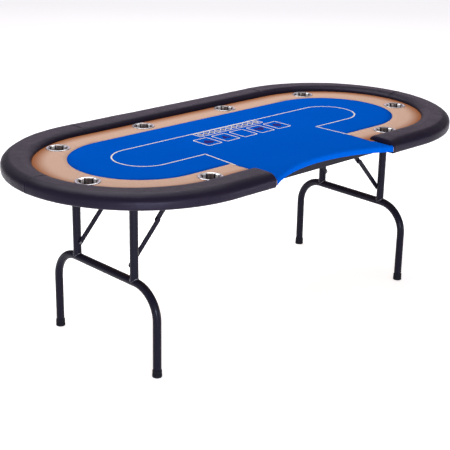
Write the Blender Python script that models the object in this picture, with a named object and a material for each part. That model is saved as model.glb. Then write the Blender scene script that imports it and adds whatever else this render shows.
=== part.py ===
"""Folding oval card table for eight players and a dealer.

A racetrack-shaped board carries a foam pad, a blue playing cloth and a tan racetrack cloth, eight drop-in
cup holders and a padded armrest rail that is open at the dealer's concave cut-out. Two wishbone leg frames
hang on cross tubes under the board and fold towards the middle; each upright has a two-link folding brace.

Units are metres, +Z is up, +X runs along the table, and the dealer sits on the -Y side. The origin is on the
floor under the middle of the rail.
"""

import math

import bmesh
import bpy
from mathutils import Vector

# Plan of the table top, all measured from one stadium curve with round ends
HALF_STRAIGHT = 0.538  # centre of each round end
RAIL_OUTER = 0.529  # radius of the rail's outer edge, so the table is 2.134 m long
RAIL_INNER = 0.398
BOARD_RADIUS = 0.445
TAN_RADIUS = 0.440
FIELD_RADIUS = 0.280  # edge of the blue field
DEALER_HALF_GAP = 0.338  # where the rail's two ends stop
CUT_RADIUS = 0.640  # concave edge in front of the dealer
CUT_DEPTH_Y = -0.431  # the deepest point of that edge
TAN_CORNER = (0.3323, FIELD_RADIUS)  # the racetrack's two ends are cut along a line between these
TAN_TIP = (0.3215, 0.428)

# Heights
RAIL_TOP = 0.772
RAIL_BOTTOM = 0.7175
SURFACE = 0.751
CLOTH = 0.0012
PAD_BOTTOM = 0.7453
BOARD_TOP = 0.745
BOARD_BOTTOM = 0.727
APRON_BOTTOM = 0.688
HEM_BOTTOM = 0.7255  # how far the cloth wraps down the dealer's edge
HINGE_Z = 0.682
CROSS_Z = 0.343

# Rail section
COVER = 0.0012
TOP_INNER_ROUND = 0.020
TOP_INNER_WIDTH = 0.032  # the inner edge is rounded wider than it is high
END_STRETCH = 0.020  # how much wider the rail's opening is at the middle of each round end
TOP_OUTER_ROUND = 0.026
BOTTOM_ROUND = 0.010
UNDER_WRAP = 0.505  # the cover ends here, under the rail base
BASE_INNER = 0.405
BASE_OUTER = 0.520
BASE_BOTTOM = 0.7192

# Cup holders: four mirrored pairs on one line round the racetrack
CUP_LINE = 0.349
FAR_CUP_X = 0.2355
NEAR_CUP_X = 0.500
END_CUP_ANGLES = (62.0, -17.6)
CUP_FLANGE = 0.0478
CUP_RADIUS = 0.034
CUP_BOTTOM = 0.7005
CUP_WALL = 0.001
CUP_HOLE = 0.0358
FLANGE_EDGE = 0.0010  # heights over the cloth of the flange's rim, crown, shoulder and mouth
FLANGE_CROWN = 0.0026
FLANGE_SHOULDER = 0.0022
FLANGE_MOUTH = 0.0006
FLANGE_ROUND = 0.0030

# Leg frames
HINGE_X = 0.7194
TUBE = 0.0165
TUBE_WALL = 0.0013
UPRIGHT_Y = 0.1752
FOOT_Y = 0.3053
BEND = 0.120
CROSS_TUBE_HALF = 0.215
CAP_RADIUS = 0.0192
CAP_HEIGHT = 0.030
CAP_FLOOR = 0.005
CAP_CHAMFER = 0.002
CAP_LIP = 0.001

# Braces: the lower link turns on the upright at A, the upper link under the board at B
BRACE_A_Z = 0.405
BRACE_ANGLE = math.radians(42.5)  # from the vertical, both links in one line
LINK_THICK = 0.006
LOWER_WIDTH = 0.0195
UPPER_WIDTH = 0.0215
LINK_GAP = 0.0005
PIN = 0.003
PIN_HOLE = 0.0034
HEAD = 0.006
HEAD_THICK = 0.0022
HEAD_CROWN = 0.6  # shares of the head's radius and thickness that round its top
HEAD_SHOULDER = 0.92
HEAD_SHOULDER_AT = 0.7
BRACKET_FLANGE = 0.032
BRACKET_HALF_WIDTH = 0.015
EAR_THICK = 0.003
EAR_DROP = 0.012  # below the pivot

# Under the board
APRON_HALF_LENGTH = 0.530
APRON_Y = (0.3845, 0.4035)
BATTEN_HALF_X = 0.035
BATTEN_HALF_Y = 0.250
BATTEN_CLEARANCE = 0.0013  # over the cross tube
STRAP_Y = 0.100
STRAP_WIDTH = 0.030
STRAP_FLANGE = 0.030
SHEET = 0.002

GAP = 0.0003  # left between pieces that touch
RUNNING_GAP = 0.0008  # round the cross tubes, which turn in their straps
RAIL_GAP = 0.0015  # between the board's edge and the rail
CLOTH_TUCK = 0.001  # how far the cover's hollow starts under the cloth
TAN_SHOULDER = 0.004  # how far the racetrack's corners stop inside the rail's ends
CUTTER_SPARE = 0.010  # how far a cutter runs past the wall that it cuts
CUTTER_REACH = 0.25  # half length of the cutters along Y
ARC_STEPS = 18  # on each round end
DEALER_STEPS = 16  # on the concave edge
ROUND_STEPS = 3  # on each rounded corner of the rail
BOTTOM_STEPS = 2
BEND_STEPS = 6  # on each bend of a wishbone
STRAP_STEPS = 8
LINK_END_STEPS = 7
CUP_SIDES = 20
TUBE_SIDES = 16
PIN_SIDES = 10

A_TO_HINGE = HINGE_Z - BRACE_A_Z
B_FROM_HINGE = A_TO_HINGE * math.tan(BRACE_ANGLE)
BRACE_LENGTH = math.hypot(A_TO_HINGE, B_FROM_HINGE)
LOWER_LENGTH = (BRACE_LENGTH + A_TO_HINGE - B_FROM_HINGE) / 2  # the links then fold flat beside the upright
LOWER_Y = (UPRIGHT_Y - TUBE - LINK_GAP - LINK_THICK, UPRIGHT_Y - TUBE - LINK_GAP)
UPPER_Y = (LOWER_Y[0] - LINK_GAP - LINK_THICK, LOWER_Y[0] - LINK_GAP)
EAR_Y = (UPPER_Y[0] - LINK_GAP - EAR_THICK, UPPER_Y[0] - LINK_GAP)


def linear(level):
    """One 0-255 display level as a linear one."""
    level /= 255
    return level / 12.92 if level <= 0.04045 else ((level + 0.055) / 1.055) ** 2.4


def material(name, colour, roughness, metallic=0.0):
    made = bpy.data.materials.new(name)
    made.use_nodes = True
    shader = made.node_tree.nodes["Principled BSDF"]
    shader.inputs["Base Color"].default_value = (*(linear(level) for level in colour), 1)
    shader.inputs["Roughness"].default_value = roughness
    shader.inputs["Metallic"].default_value = metallic
    made.diffuse_color = (*(linear(level) for level in colour), 1)
    return made


def polar(centre_x, angle, radius):
    return centre_x + radius * math.cos(angle), radius * math.sin(angle)


def steps(first, last, count):
    return [first + (last - first) * i / count for i in range(count + 1)]


def round_ends():
    """Stations (centre x, angle) round the right end, then the left end."""
    right = [(HALF_STRAIGHT, a) for a in steps(-math.pi / 2, math.pi / 2, ARC_STEPS)]
    left = [(-HALF_STRAIGHT, a) for a in steps(math.pi / 2, math.pi * 1.5, ARC_STEPS)]
    return right + left


def rail_stations(half_gap):
    return [(half_gap, -math.pi / 2)] + round_ends() + [(-half_gap, math.pi * 1.5)]


def arc(centre, radius, first, last, count=ROUND_STEPS):
    return [
        (centre[0] + radius * math.cos(a), centre[1] + radius * math.sin(a))
        for a in steps(math.radians(first), math.radians(last), count)
    ]


# Mesh building


def finish(name, build, finish_material, parent=None, smooth=True):
    """Makes an object of a bmesh, with its faces out and its origin on its parent's axis."""
    bmesh.ops.recalc_face_normals(build, faces=build.faces)
    mesh = bpy.data.meshes.new(name)
    origin = parent.location.copy() if parent else Vector((0, 0, 0))
    bmesh.ops.translate(build, verts=build.verts, vec=-origin)
    build.to_mesh(mesh)
    build.free()
    mesh.materials.append(finish_material)
    if smooth:
        mesh.shade_smooth()
        mesh.set_sharp_from_angle(angle=math.radians(35))
    made = bpy.data.objects.new(name, mesh)
    bpy.context.scene.collection.objects.link(made)
    if parent:
        made.parent = parent
    return made


def sweep_rings(rings):
    """Joins equal rings of points into one skin, with flat ends."""
    build = bmesh.new()
    rows = [[build.verts.new(point) for point in ring] for ring in rings]
    for near, far in zip(rows, rows[1:]):
        for i in range(len(near)):
            j = (i + 1) % len(near)
            build.faces.new((near[i], near[j], far[j], far[i]))
    build.faces.new(reversed(rows[0]))
    build.faces.new(rows[-1])
    return build


def rail_point(centre_x, angle, radius):
    """The plan point of a section's corner; the inner corners stand further out round the ends."""
    x, y = polar(centre_x, angle, radius)
    if radius < TAN_RADIUS:
        x += END_STRETCH * math.cos(angle)
    return x, y


def swept_rail(profile, half_gap):
    rings = []
    for centre_x, angle in rail_stations(half_gap):
        rings.append([(*rail_point(centre_x, angle, radius), z) for radius, z in profile])
    return sweep_rings(rings)


def prism(outline, low, high):
    """A flat outline in plan, from one height to another."""
    return sweep_rings([[(x, y, z) for x, y in outline] for z in (low, high)])


def prism_along(axis, outline, low, high):
    """An outline in the plane across axis, drawn out along it: (x, z) along Y, or (y, z) along X."""
    if axis == "Y":
        return sweep_rings([[(x, y, z) for x, z in outline] for y in (low, high)])
    return sweep_rings([[(x, y, z) for y, z in outline] for x in (low, high)])


def box(x, y, z):
    return prism([(x[0], y[0]), (x[1], y[0]), (x[1], y[1]), (x[0], y[1])], *z)


def circle(radius, sides, centre=(0, 0)):
    angles = steps(0, 2 * math.pi, sides)[:-1]
    return [(centre[0] + radius * math.cos(a), centre[1] + radius * math.sin(a)) for a in angles]


def lathe(profile, centre, sides):
    """Turns a closed profile of (radius, z), which starts and ends on the axis, round a vertical line."""
    build = bmesh.new()
    bottom = build.verts.new((*centre, profile[0][1]))
    top = build.verts.new((*centre, profile[-1][1]))
    rows = []
    for radius, z in profile[1:-1]:
        rows.append([build.verts.new((x, y, z)) for x, y in circle(radius, sides, centre)])
    for i in range(sides):
        j = (i + 1) % sides
        build.faces.new((bottom, rows[0][j], rows[0][i]))
        build.faces.new((top, rows[-1][i], rows[-1][j]))
        for near, far in zip(rows, rows[1:]):
            build.faces.new((near[i], near[j], far[j], far[i]))
    return build


def tube(path, across, outer, inner, sides):
    """A hollow tube along a path in one plane; across is that plane's normal."""
    across = Vector(across)
    points = [Vector(point) for point in path]
    build = bmesh.new()
    skins = []
    for radius in (outer, inner):
        rows = []
        for i, point in enumerate(points):
            ahead = points[min(i + 1, len(points) - 1)] - points[max(i - 1, 0)]
            side = ahead.normalized().cross(across)
            row = [build.verts.new(point + side * u + across * v) for u, v in circle(radius, sides)]
            rows.append(row)
        for near, far in zip(rows, rows[1:]):
            for i in range(sides):
                j = (i + 1) % sides
                build.faces.new((near[i], near[j], far[j], far[i]))
        skins.append(rows)
    for end in (0, -1):
        outside, inside = skins[0][end], skins[1][end]
        for i in range(sides):
            j = (i + 1) % sides
            build.faces.new((outside[i], outside[j], inside[j], inside[i]))
    return build


def rod(axis, centre, radius, low, high, sides=TUBE_SIDES):
    """A plain round bar along Y or Z."""
    rings = []
    for along in (low, high):
        ring = []
        for u, v in circle(radius, sides):
            if axis == "Y":
                ring.append((centre[0] + u, along, centre[1] + v))
            else:
                ring.append((centre[0] + u, centre[1] + v, along))
        rings.append(ring)
    return sweep_rings(rings)


def join(*builds):
    """One mesh of several that don't meet, for cutters."""
    joined = bmesh.new()
    for build in builds:
        mesh = bpy.data.meshes.new("joined")
        build.to_mesh(mesh)
        build.free()
        joined.from_mesh(mesh)
        bpy.data.meshes.remove(mesh)
    return joined


def cutter(name, build):
    made = finish(name, build, CUT, smooth=False)
    made.hide_render = True
    made.display_type = "WIRE"
    return made


def cut(target, tool):
    step = target.modifiers.new("cut", "BOOLEAN")
    step.operation = "DIFFERENCE"
    step.solver = "EXACT"
    step.object = tool
    return target


def axis_point(name, location):
    made = bpy.data.objects.new(name, None)
    made.empty_display_size = 0.05
    made.location = location
    bpy.context.scene.collection.objects.link(made)
    return made


# The table top


def dealer_arc(inset, half_width):
    """The concave edge from left to right; inset moves it towards the players."""
    centre_y = CUT_DEPTH_Y - CUT_RADIUS
    radius = CUT_RADIUS + inset
    half_angle = math.asin(half_width / radius)
    angles = steps(math.pi / 2 + half_angle, math.pi / 2 - half_angle, DEALER_STEPS)
    return [(radius * math.cos(a), centre_y + radius * math.sin(a)) for a in angles]


def board_outline(radius, inset):
    """The oval, with the dealer's panel reaching out between the rail's ends."""
    half = DEALER_HALF_GAP - RAIL_GAP
    ends = [polar(centre_x, angle, radius) for centre_x, angle in round_ends()]
    return ends + [(-half, -radius)] + dealer_arc(inset, half) + [(half, -radius)]


def field_outline():
    half = DEALER_HALF_GAP - RAIL_GAP
    corner, tip = TAN_CORNER, TAN_TIP
    ends = [polar(centre_x, angle, FIELD_RADIUS) for centre_x, angle in round_ends()]
    left = [(-corner[0], -corner[1]), (-tip[0], -tip[1]), (-half, -tip[1])]
    right = [(half, -tip[1]), (tip[0], -tip[1]), (corner[0], -corner[1])]
    return ends + left + dealer_arc(-CLOTH - GAP, half) + right


def racetrack_outline():
    inner = FIELD_RADIUS + GAP
    corner = (TAN_CORNER[0] + GAP, inner)
    tip = (TAN_TIP[0] + GAP, TAN_TIP[1] - GAP)
    shoulder = DEALER_HALF_GAP + TAN_SHOULDER
    outside = [polar(centre_x, angle, TAN_RADIUS) for centre_x, angle in round_ends()]
    inside = [polar(centre_x, angle, inner) for centre_x, angle in reversed(round_ends())]
    left = [(-shoulder, -TAN_RADIUS), (-shoulder, -tip[1]), (-tip[0], -tip[1]), (-corner[0], -corner[1])]
    right = [(corner[0], -corner[1]), (tip[0], -tip[1]), (shoulder, -tip[1]), (shoulder, -TAN_RADIUS)]
    return outside + left + inside + right


def cup_centres():
    """Eight places, from the left end round the far side to the right end, then the near pair."""
    places = []
    for degrees in END_CUP_ANGLES:
        places.append(polar(HALF_STRAIGHT, math.radians(degrees), CUP_LINE))
    places += [(FAR_CUP_X, CUP_LINE), (NEAR_CUP_X, -CUP_LINE)]
    return [(-x, y) for x, y in places] + places


def cup_profile():
    """From the underside's middle, up the outside, over the flange and down to the inside's middle."""
    inner = CUP_RADIUS - CUP_WALL
    rest = SURFACE + GAP
    return [
        (0, CUP_BOTTOM),
        (CUP_RADIUS, CUP_BOTTOM),
        (CUP_RADIUS, rest),
        (CUP_FLANGE, rest),
        (CUP_FLANGE, rest + FLANGE_EDGE),
        (CUP_FLANGE - FLANGE_ROUND, rest + FLANGE_CROWN),
        (CUP_RADIUS + FLANGE_ROUND, rest + FLANGE_SHOULDER),
        (inner, rest + FLANGE_MOUTH),
        (inner, CUP_BOTTOM + CUP_WALL),
        (0, CUP_BOTTOM + CUP_WALL),
    ]


def padded_profile(inset):
    """The rail's rounded section from its inner foot over the top to the bottom of its outer side."""
    top = RAIL_TOP - inset
    high, wide = TOP_INNER_ROUND - inset, TOP_INNER_WIDTH - inset
    foot = RAIL_INNER + inset
    inner = []
    for a in steps(0, math.pi / 2, ROUND_STEPS):
        inner.append((foot + wide * (1 - math.cos(a)), top - high * (1 - math.sin(a))))
    large = TOP_OUTER_ROUND - inset
    return inner + arc((RAIL_OUTER - inset - large, top - large), large, 90, 0)


def rail_bottom_round(inset):
    radius = BOTTOM_ROUND - inset
    return arc((RAIL_OUTER - BOTTOM_ROUND, RAIL_BOTTOM + BOTTOM_ROUND), radius, 0, -90, BOTTOM_STEPS)


def make_rail(vinyl, foam, plywood):
    outside = (
        [(RAIL_INNER, SURFACE + GAP)]
        + padded_profile(0)
        + rail_bottom_round(0)
        + [(BOARD_RADIUS + RAIL_GAP, RAIL_BOTTOM), (BOARD_RADIUS + RAIL_GAP, SURFACE + GAP)]
    )
    below = RAIL_BOTTOM - CUTTER_SPARE
    hollow = (
        [(RAIL_INNER + COVER, SURFACE - CLOTH_TUCK)]
        + padded_profile(COVER)
        + rail_bottom_round(COVER)
        + [(UNDER_WRAP, RAIL_BOTTOM + COVER), (UNDER_WRAP, below)]
        + [(TAN_RADIUS, below), (TAN_RADIUS, SURFACE - CLOTH_TUCK)]
    )
    tool = cutter("rail_hollow", swept_rail(hollow, DEALER_HALF_GAP + COVER))
    cut(finish("rail_cover", swept_rail(outside, DEALER_HALF_GAP), vinyl), tool)

    inset = COVER + GAP
    padding = (
        [(RAIL_INNER + inset, SURFACE + 2 * GAP)]
        + padded_profile(inset)
        + [(RAIL_OUTER - inset, BOARD_BOTTOM + GAP), (BOARD_RADIUS + RAIL_GAP, BOARD_BOTTOM + GAP)]
        + [(BOARD_RADIUS + RAIL_GAP, SURFACE + 2 * GAP)]
    )
    finish("rail_foam", swept_rail(padding, DEALER_HALF_GAP + inset), foam)
    top = BOARD_BOTTOM - GAP
    base = [(BASE_INNER, BASE_BOTTOM), (BASE_OUTER, BASE_BOTTOM), (BASE_OUTER, top), (BASE_INNER, top)]
    finish("rail_base", swept_rail(base, DEALER_HALF_GAP + inset), plywood, smooth=False)


def make_top(plywood, foam, blue, tan, steel):
    low, high = BOARD_BOTTOM - CUTTER_SPARE, SURFACE + CUTTER_SPARE
    holes = [rod("Z", centre, CUP_HOLE, low, high) for centre in cup_centres()]
    tool = cutter("cup_holes", join(*holes))
    board = board_outline(BOARD_RADIUS, 0)
    cut(finish("playing_board", prism(board, BOARD_BOTTOM, BOARD_TOP), plywood, smooth=False), tool)
    pad_top = SURFACE - CLOTH - GAP
    cut(finish("foam_pad", prism(board, PAD_BOTTOM, pad_top), foam, smooth=False), tool)
    racetrack = prism(racetrack_outline(), SURFACE - CLOTH, SURFACE)
    cut(finish("racetrack_cloth", racetrack, tan, smooth=False), tool)

    inside = prism(board_outline(BOARD_RADIUS, -GAP), HEM_BOTTOM - CUTTER_SPARE, SURFACE - CLOTH)
    under = cutter("under_cloth", inside)
    cut(finish("playing_cloth", prism(field_outline(), HEM_BOTTOM, SURFACE), blue, smooth=False), under)
    for number, centre in enumerate(cup_centres(), 1):
        finish(f"cup_holder_{number}", lathe(cup_profile(), centre, CUP_SIDES), steel)


def make_frame(black_wood, plywood, steel):
    for name, side in (("front_apron", -1), ("rear_apron", 1)):
        y = sorted((side * APRON_Y[0], side * APRON_Y[1]))
        shape = box((-APRON_HALF_LENGTH, APRON_HALF_LENGTH), y, (APRON_BOTTOM, BOARD_BOTTOM - GAP))
        finish(name, shape, black_wood, smooth=False)
    for name, side in (("left", -1), ("right", 1)):
        x = side * HINGE_X
        bottom = HINGE_Z + TUBE + BATTEN_CLEARANCE
        across = (x - BATTEN_HALF_X, x + BATTEN_HALF_X)
        shape = box(across, (-BATTEN_HALF_Y, BATTEN_HALF_Y), (bottom, BOARD_BOTTOM - GAP))
        finish(f"{name}_hinge_batten", shape, plywood, smooth=False)
        for place, y in (("front", -STRAP_Y), ("rear", STRAP_Y)):
            shape = prism_along("Y", strap_outline(x, bottom - GAP), y - STRAP_WIDTH / 2, y + STRAP_WIDTH / 2)
            finish(f"{name}_{place}_hinge_strap", shape, steel)


def strap_outline(x, top):
    """A sheet saddle under the cross tube, with a flat flange on each side."""
    bore = TUBE + RUNNING_GAP
    out = bore + SHEET
    left = [(x - STRAP_FLANGE, top), (x - STRAP_FLANGE, top - SHEET), (x - out, top - SHEET)]
    right = [(x + out, top - SHEET), (x + STRAP_FLANGE, top - SHEET), (x + STRAP_FLANGE, top)]
    outside = arc((x, HINGE_Z), out, 180, 360, STRAP_STEPS)
    inside = arc((x, HINGE_Z), bore, 360, 180, STRAP_STEPS)
    return left + outside + right + [(x + bore, top)] + inside + [(x - bore, top)]


# Legs and braces


def wishbone_path(x):
    bend_z = CROSS_Z - BEND
    left = arc((-(FOOT_Y - BEND), bend_z), BEND, 180, 90, BEND_STEPS)
    right = arc((FOOT_Y - BEND, bend_z), BEND, 90, 0, BEND_STEPS)
    points = [(-FOOT_Y, CAP_FLOOR + GAP)] + left + right + [(FOOT_Y, CAP_FLOOR + GAP)]
    return [(x, y, z) for y, z in points]


def cap_profile():
    bore = TUBE + GAP
    outer = CAP_RADIUS
    return [
        (0, 0),
        (outer - CAP_CHAMFER, 0),
        (outer, CAP_CHAMFER),
        (outer, CAP_HEIGHT - CAP_CHAMFER),
        (outer - CAP_LIP, CAP_HEIGHT),
        (bore, CAP_HEIGHT),
        (bore, CAP_FLOOR),
        (0, CAP_FLOOR),
    ]


def make_leg(name, side, enamel, rubber, rivet):
    x = side * HINGE_X
    axis = axis_point(f"{name}_leg_axis", (x, 0, HINGE_Z))
    cross = [(x, -CROSS_TUBE_HALF, HINGE_Z), (x, CROSS_TUBE_HALF, HINGE_Z)]
    finish(f"{name}_hinge_tube", tube(cross, (1, 0, 0), TUBE, TUBE - TUBE_WALL, TUBE_SIDES), enamel, axis)
    frame = tube(wishbone_path(x), (1, 0, 0), TUBE, TUBE - TUBE_WALL, TUBE_SIDES)
    finish(f"{name}_wishbone", frame, enamel, axis)
    copes = join(
        rod("Y", (x, HINGE_Z), TUBE + GAP, -CUTTER_REACH, CUTTER_REACH),
        rod("Y", (x, CROSS_Z), TUBE + GAP, -CUTTER_REACH, CUTTER_REACH),
    )
    tool = cutter(f"{name}_copes", copes)
    for place, front in (("front", -1), ("rear", 1)):
        y = front * UPRIGHT_Y
        path = [(x, y, CROSS_Z + TUBE / 2), (x, y, HINGE_Z - TUBE / 2)]
        upright = tube(path, (1, 0, 0), TUBE, TUBE - TUBE_WALL, TUBE_SIDES)
        cut(finish(f"{name}_{place}_upright", upright, enamel, axis), tool)
        cap = lathe(cap_profile(), (x, front * FOOT_Y), TUBE_SIDES)
        finish(f"{name}_{place}_foot_cap", cap, rubber, axis)
        pin = pin_shape(x, BRACE_A_Z, front, LOWER_Y[0] - GAP, LOWER_Y[1])
        finish(f"{name}_{place}_leg_rivet", pin, rivet, axis)


def pin_shape(x, z, front, inner, outer):
    """A rivet along Y: its domed head is on the inner side, and the shank ends at outer."""
    rows = [
        (inner - HEAD_THICK, HEAD * HEAD_CROWN),
        (inner - HEAD_THICK * HEAD_SHOULDER_AT, HEAD * HEAD_SHOULDER),
        (inner, HEAD),
        (inner, PIN),
        (outer, PIN),
    ]
    rings = []
    for along, radius in rows:
        rings.append([(x + u, front * along, z + v) for u, v in circle(radius, PIN_SIDES)])
    return sweep_rings(rings)


def link_outline(start, end, width):
    """A bar with round ends between two pivots in the XZ plane."""
    heading = math.degrees(math.atan2(end[1] - start[1], end[0] - start[0]))
    near = arc(start, width / 2, heading + 90, heading + 270, LINK_END_STEPS)
    far = arc(end, width / 2, heading - 90, heading + 90, LINK_END_STEPS)
    return near + far


def bracket_outline(front):
    """An L of sheet in the YZ plane: a flange under the board and an ear down past the pivot."""
    top = BOARD_BOTTOM - GAP
    low = HINGE_Z - EAR_DROP
    inner, outer = EAR_Y
    flange = inner - BRACKET_FLANGE
    under = top - SHEET
    points = [(flange, top), (flange, under), (inner, under), (inner, low), (outer, low), (outer, top)]
    return [(front * y, z) for y, z in points]


def make_braces(name, side, enamel, steel, rivet):
    x = side * HINGE_X
    point_a = (x, BRACE_A_Z)
    point_b = (x - side * B_FROM_HINGE, HINGE_Z)
    share = LOWER_LENGTH / BRACE_LENGTH
    knee = tuple(a + (b - a) * share for a, b in zip(point_a, point_b))
    holes = {}
    for label, point in (("a", point_a), ("b", point_b), ("knee", knee)):
        drill = rod("Y", point, PIN_HOLE, -CUTTER_REACH, CUTTER_REACH, PIN_SIDES)
        holes[label] = cutter(f"{name}_{label}_holes", drill)
    for place, front in (("front", -1), ("rear", 1)):
        tag = f"{name}_{place}"
        lower_axis = axis_point(f"{tag}_lower_axis", (point_a[0], front * LOWER_Y[0], point_a[1]))
        upper_axis = axis_point(f"{tag}_upper_axis", (point_b[0], front * UPPER_Y[0], point_b[1]))
        spans = [sorted((front * a, front * b)) for a, b in (LOWER_Y, UPPER_Y)]
        lower = prism_along("Y", link_outline(point_a, knee, LOWER_WIDTH), *spans[0])
        cut(finish(f"{tag}_lower_brace", lower, enamel, lower_axis, smooth=False), holes["a"])
        upper = prism_along("Y", link_outline(point_b, knee, UPPER_WIDTH), *spans[1])
        bar = finish(f"{tag}_upper_brace", upper, enamel, upper_axis, smooth=False)
        cut(cut(bar, holes["b"]), holes["knee"])
        knee_pin = pin_shape(*knee, front, UPPER_Y[0] - GAP, UPPER_Y[1] - GAP)
        finish(f"{tag}_knee_rivet", knee_pin, rivet, upper_axis)
        ear_x = (point_b[0] - BRACKET_HALF_WIDTH, point_b[0] + BRACKET_HALF_WIDTH)
        ear = prism_along("X", bracket_outline(front), *ear_x)
        cut(finish(f"{tag}_brace_bracket", ear, steel, smooth=False), holes["b"])
        finish(f"{tag}_brace_pin", pin_shape(*point_b, front, EAR_Y[0] - GAP, UPPER_Y[1]), rivet)


for old in list(bpy.data.objects):
    bpy.data.objects.remove(old, do_unlink=True)

CUT = material("cutting_guide", (255, 60, 60), 0.5)


def build_table():
    plywood = material("plywood", (176, 141, 100), 0.65)
    black_wood = material("black_wood", (30, 28, 34), 0.55)
    foam = material("foam", (70, 70, 74), 0.95)
    blue = material("blue_cloth", (0, 87, 191), 0.9)
    tan = material("tan_cloth", (196, 163, 143), 0.85)
    vinyl = material("black_vinyl", (44, 41, 52), 0.42)
    stainless = material("stainless_steel", (200, 200, 205), 0.22, 1.0)
    enamel = material("black_enamel", (34, 32, 42), 0.35)
    zinc = material("zinc_plate", (120, 120, 128), 0.4, 1.0)
    rubber = material("black_rubber", (26, 25, 30), 0.75)
    make_top(plywood, foam, blue, tan, stainless)
    make_rail(vinyl, foam, plywood)
    make_frame(black_wood, plywood, enamel)
    for name, side in (("left", -1), ("right", 1)):
        make_leg(name, side, enamel, rubber, zinc)
        make_braces(name, side, enamel, enamel, zinc)


build_table()
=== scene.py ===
"""Looks of the folding oval card table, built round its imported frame.

Padded black vinyl rail, printed playing cloth, steel cup holders, two folding tube leg frames with their
braces, and the wooden parts under the board. Metres, in the frame's own axes.
"""

import math

import bmesh
import bpy
import numpy as np
from mathutils import Matrix, Vector, noise
from mathutils.geometry import delaunay_2d_cdt, tessellate_polygon


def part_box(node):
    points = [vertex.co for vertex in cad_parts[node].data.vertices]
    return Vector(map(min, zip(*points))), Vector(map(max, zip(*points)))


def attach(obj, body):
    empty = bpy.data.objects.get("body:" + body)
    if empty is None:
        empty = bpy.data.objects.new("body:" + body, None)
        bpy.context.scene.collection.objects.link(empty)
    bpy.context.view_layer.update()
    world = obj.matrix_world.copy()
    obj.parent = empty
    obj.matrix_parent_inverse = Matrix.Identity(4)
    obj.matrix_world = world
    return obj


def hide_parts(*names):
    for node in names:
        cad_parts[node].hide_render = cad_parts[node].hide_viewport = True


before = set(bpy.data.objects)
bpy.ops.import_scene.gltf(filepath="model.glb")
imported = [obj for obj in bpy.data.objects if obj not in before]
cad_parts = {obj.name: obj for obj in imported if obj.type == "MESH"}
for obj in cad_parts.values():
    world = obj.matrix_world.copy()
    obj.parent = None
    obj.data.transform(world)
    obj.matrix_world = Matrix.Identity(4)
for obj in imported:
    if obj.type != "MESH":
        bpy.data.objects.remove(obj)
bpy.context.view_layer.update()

# Sizes read from the frame
RAIL_LOW, RAIL_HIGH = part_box("rail_cover")
TAN_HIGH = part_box("racetrack_cloth")[1]
BOARD_LOW, BOARD_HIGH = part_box("playing_board")
PAD_LOW, PAD_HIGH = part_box("foam_pad")
RAIL_OUTER = RAIL_HIGH.y
HALF_STRAIGHT = RAIL_HIGH.x - RAIL_HIGH.y  # centre of each round end
RAIL_TOP = RAIL_HIGH.z
RAIL_BOTTOM = RAIL_LOW.z
SURFACE = TAN_HIGH.z
CUP_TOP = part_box("cup_holder_1")[1].z
TAN_RADIUS = TAN_HIGH.y
BOARD_RADIUS = BOARD_HIGH.y
BOARD_BOTTOM = BOARD_LOW.z
HEM_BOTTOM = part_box("playing_cloth")[0].z
BASE_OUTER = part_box("rail_base")[1].y

# Plan of the top, as in the frame
RAIL_INNER = 0.398
END_STRETCH = 0.020  # how much wider the rail's opening is at the middle of each round end
FIELD_RADIUS = 0.280
DEALER_HALF_GAP = 0.338
PANEL_HALF = 0.3365  # half width of the dealer's panel between the rail's ends
CUT_RADIUS = 0.640
CUT_DEPTH_Y = -0.431
TAN_CORNER = (0.3323, 0.280)
TAN_TIP = (0.3215, 0.428)
CLOTH = 0.0012
GAP = 0.0003
CUP_COUNT = 8


def level(value):
    """One 0-255 display level as a linear one."""
    value /= 255
    return value / 12.92 if value <= 0.04045 else ((value + 0.055) / 1.055) ** 2.4


def rgb(red, green, blue):
    return (level(red), level(green), level(blue), 1.0)


def steps(first, last, count):
    return [first + (last - first) * i / count for i in range(count + 1)]


# Materials


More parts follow.
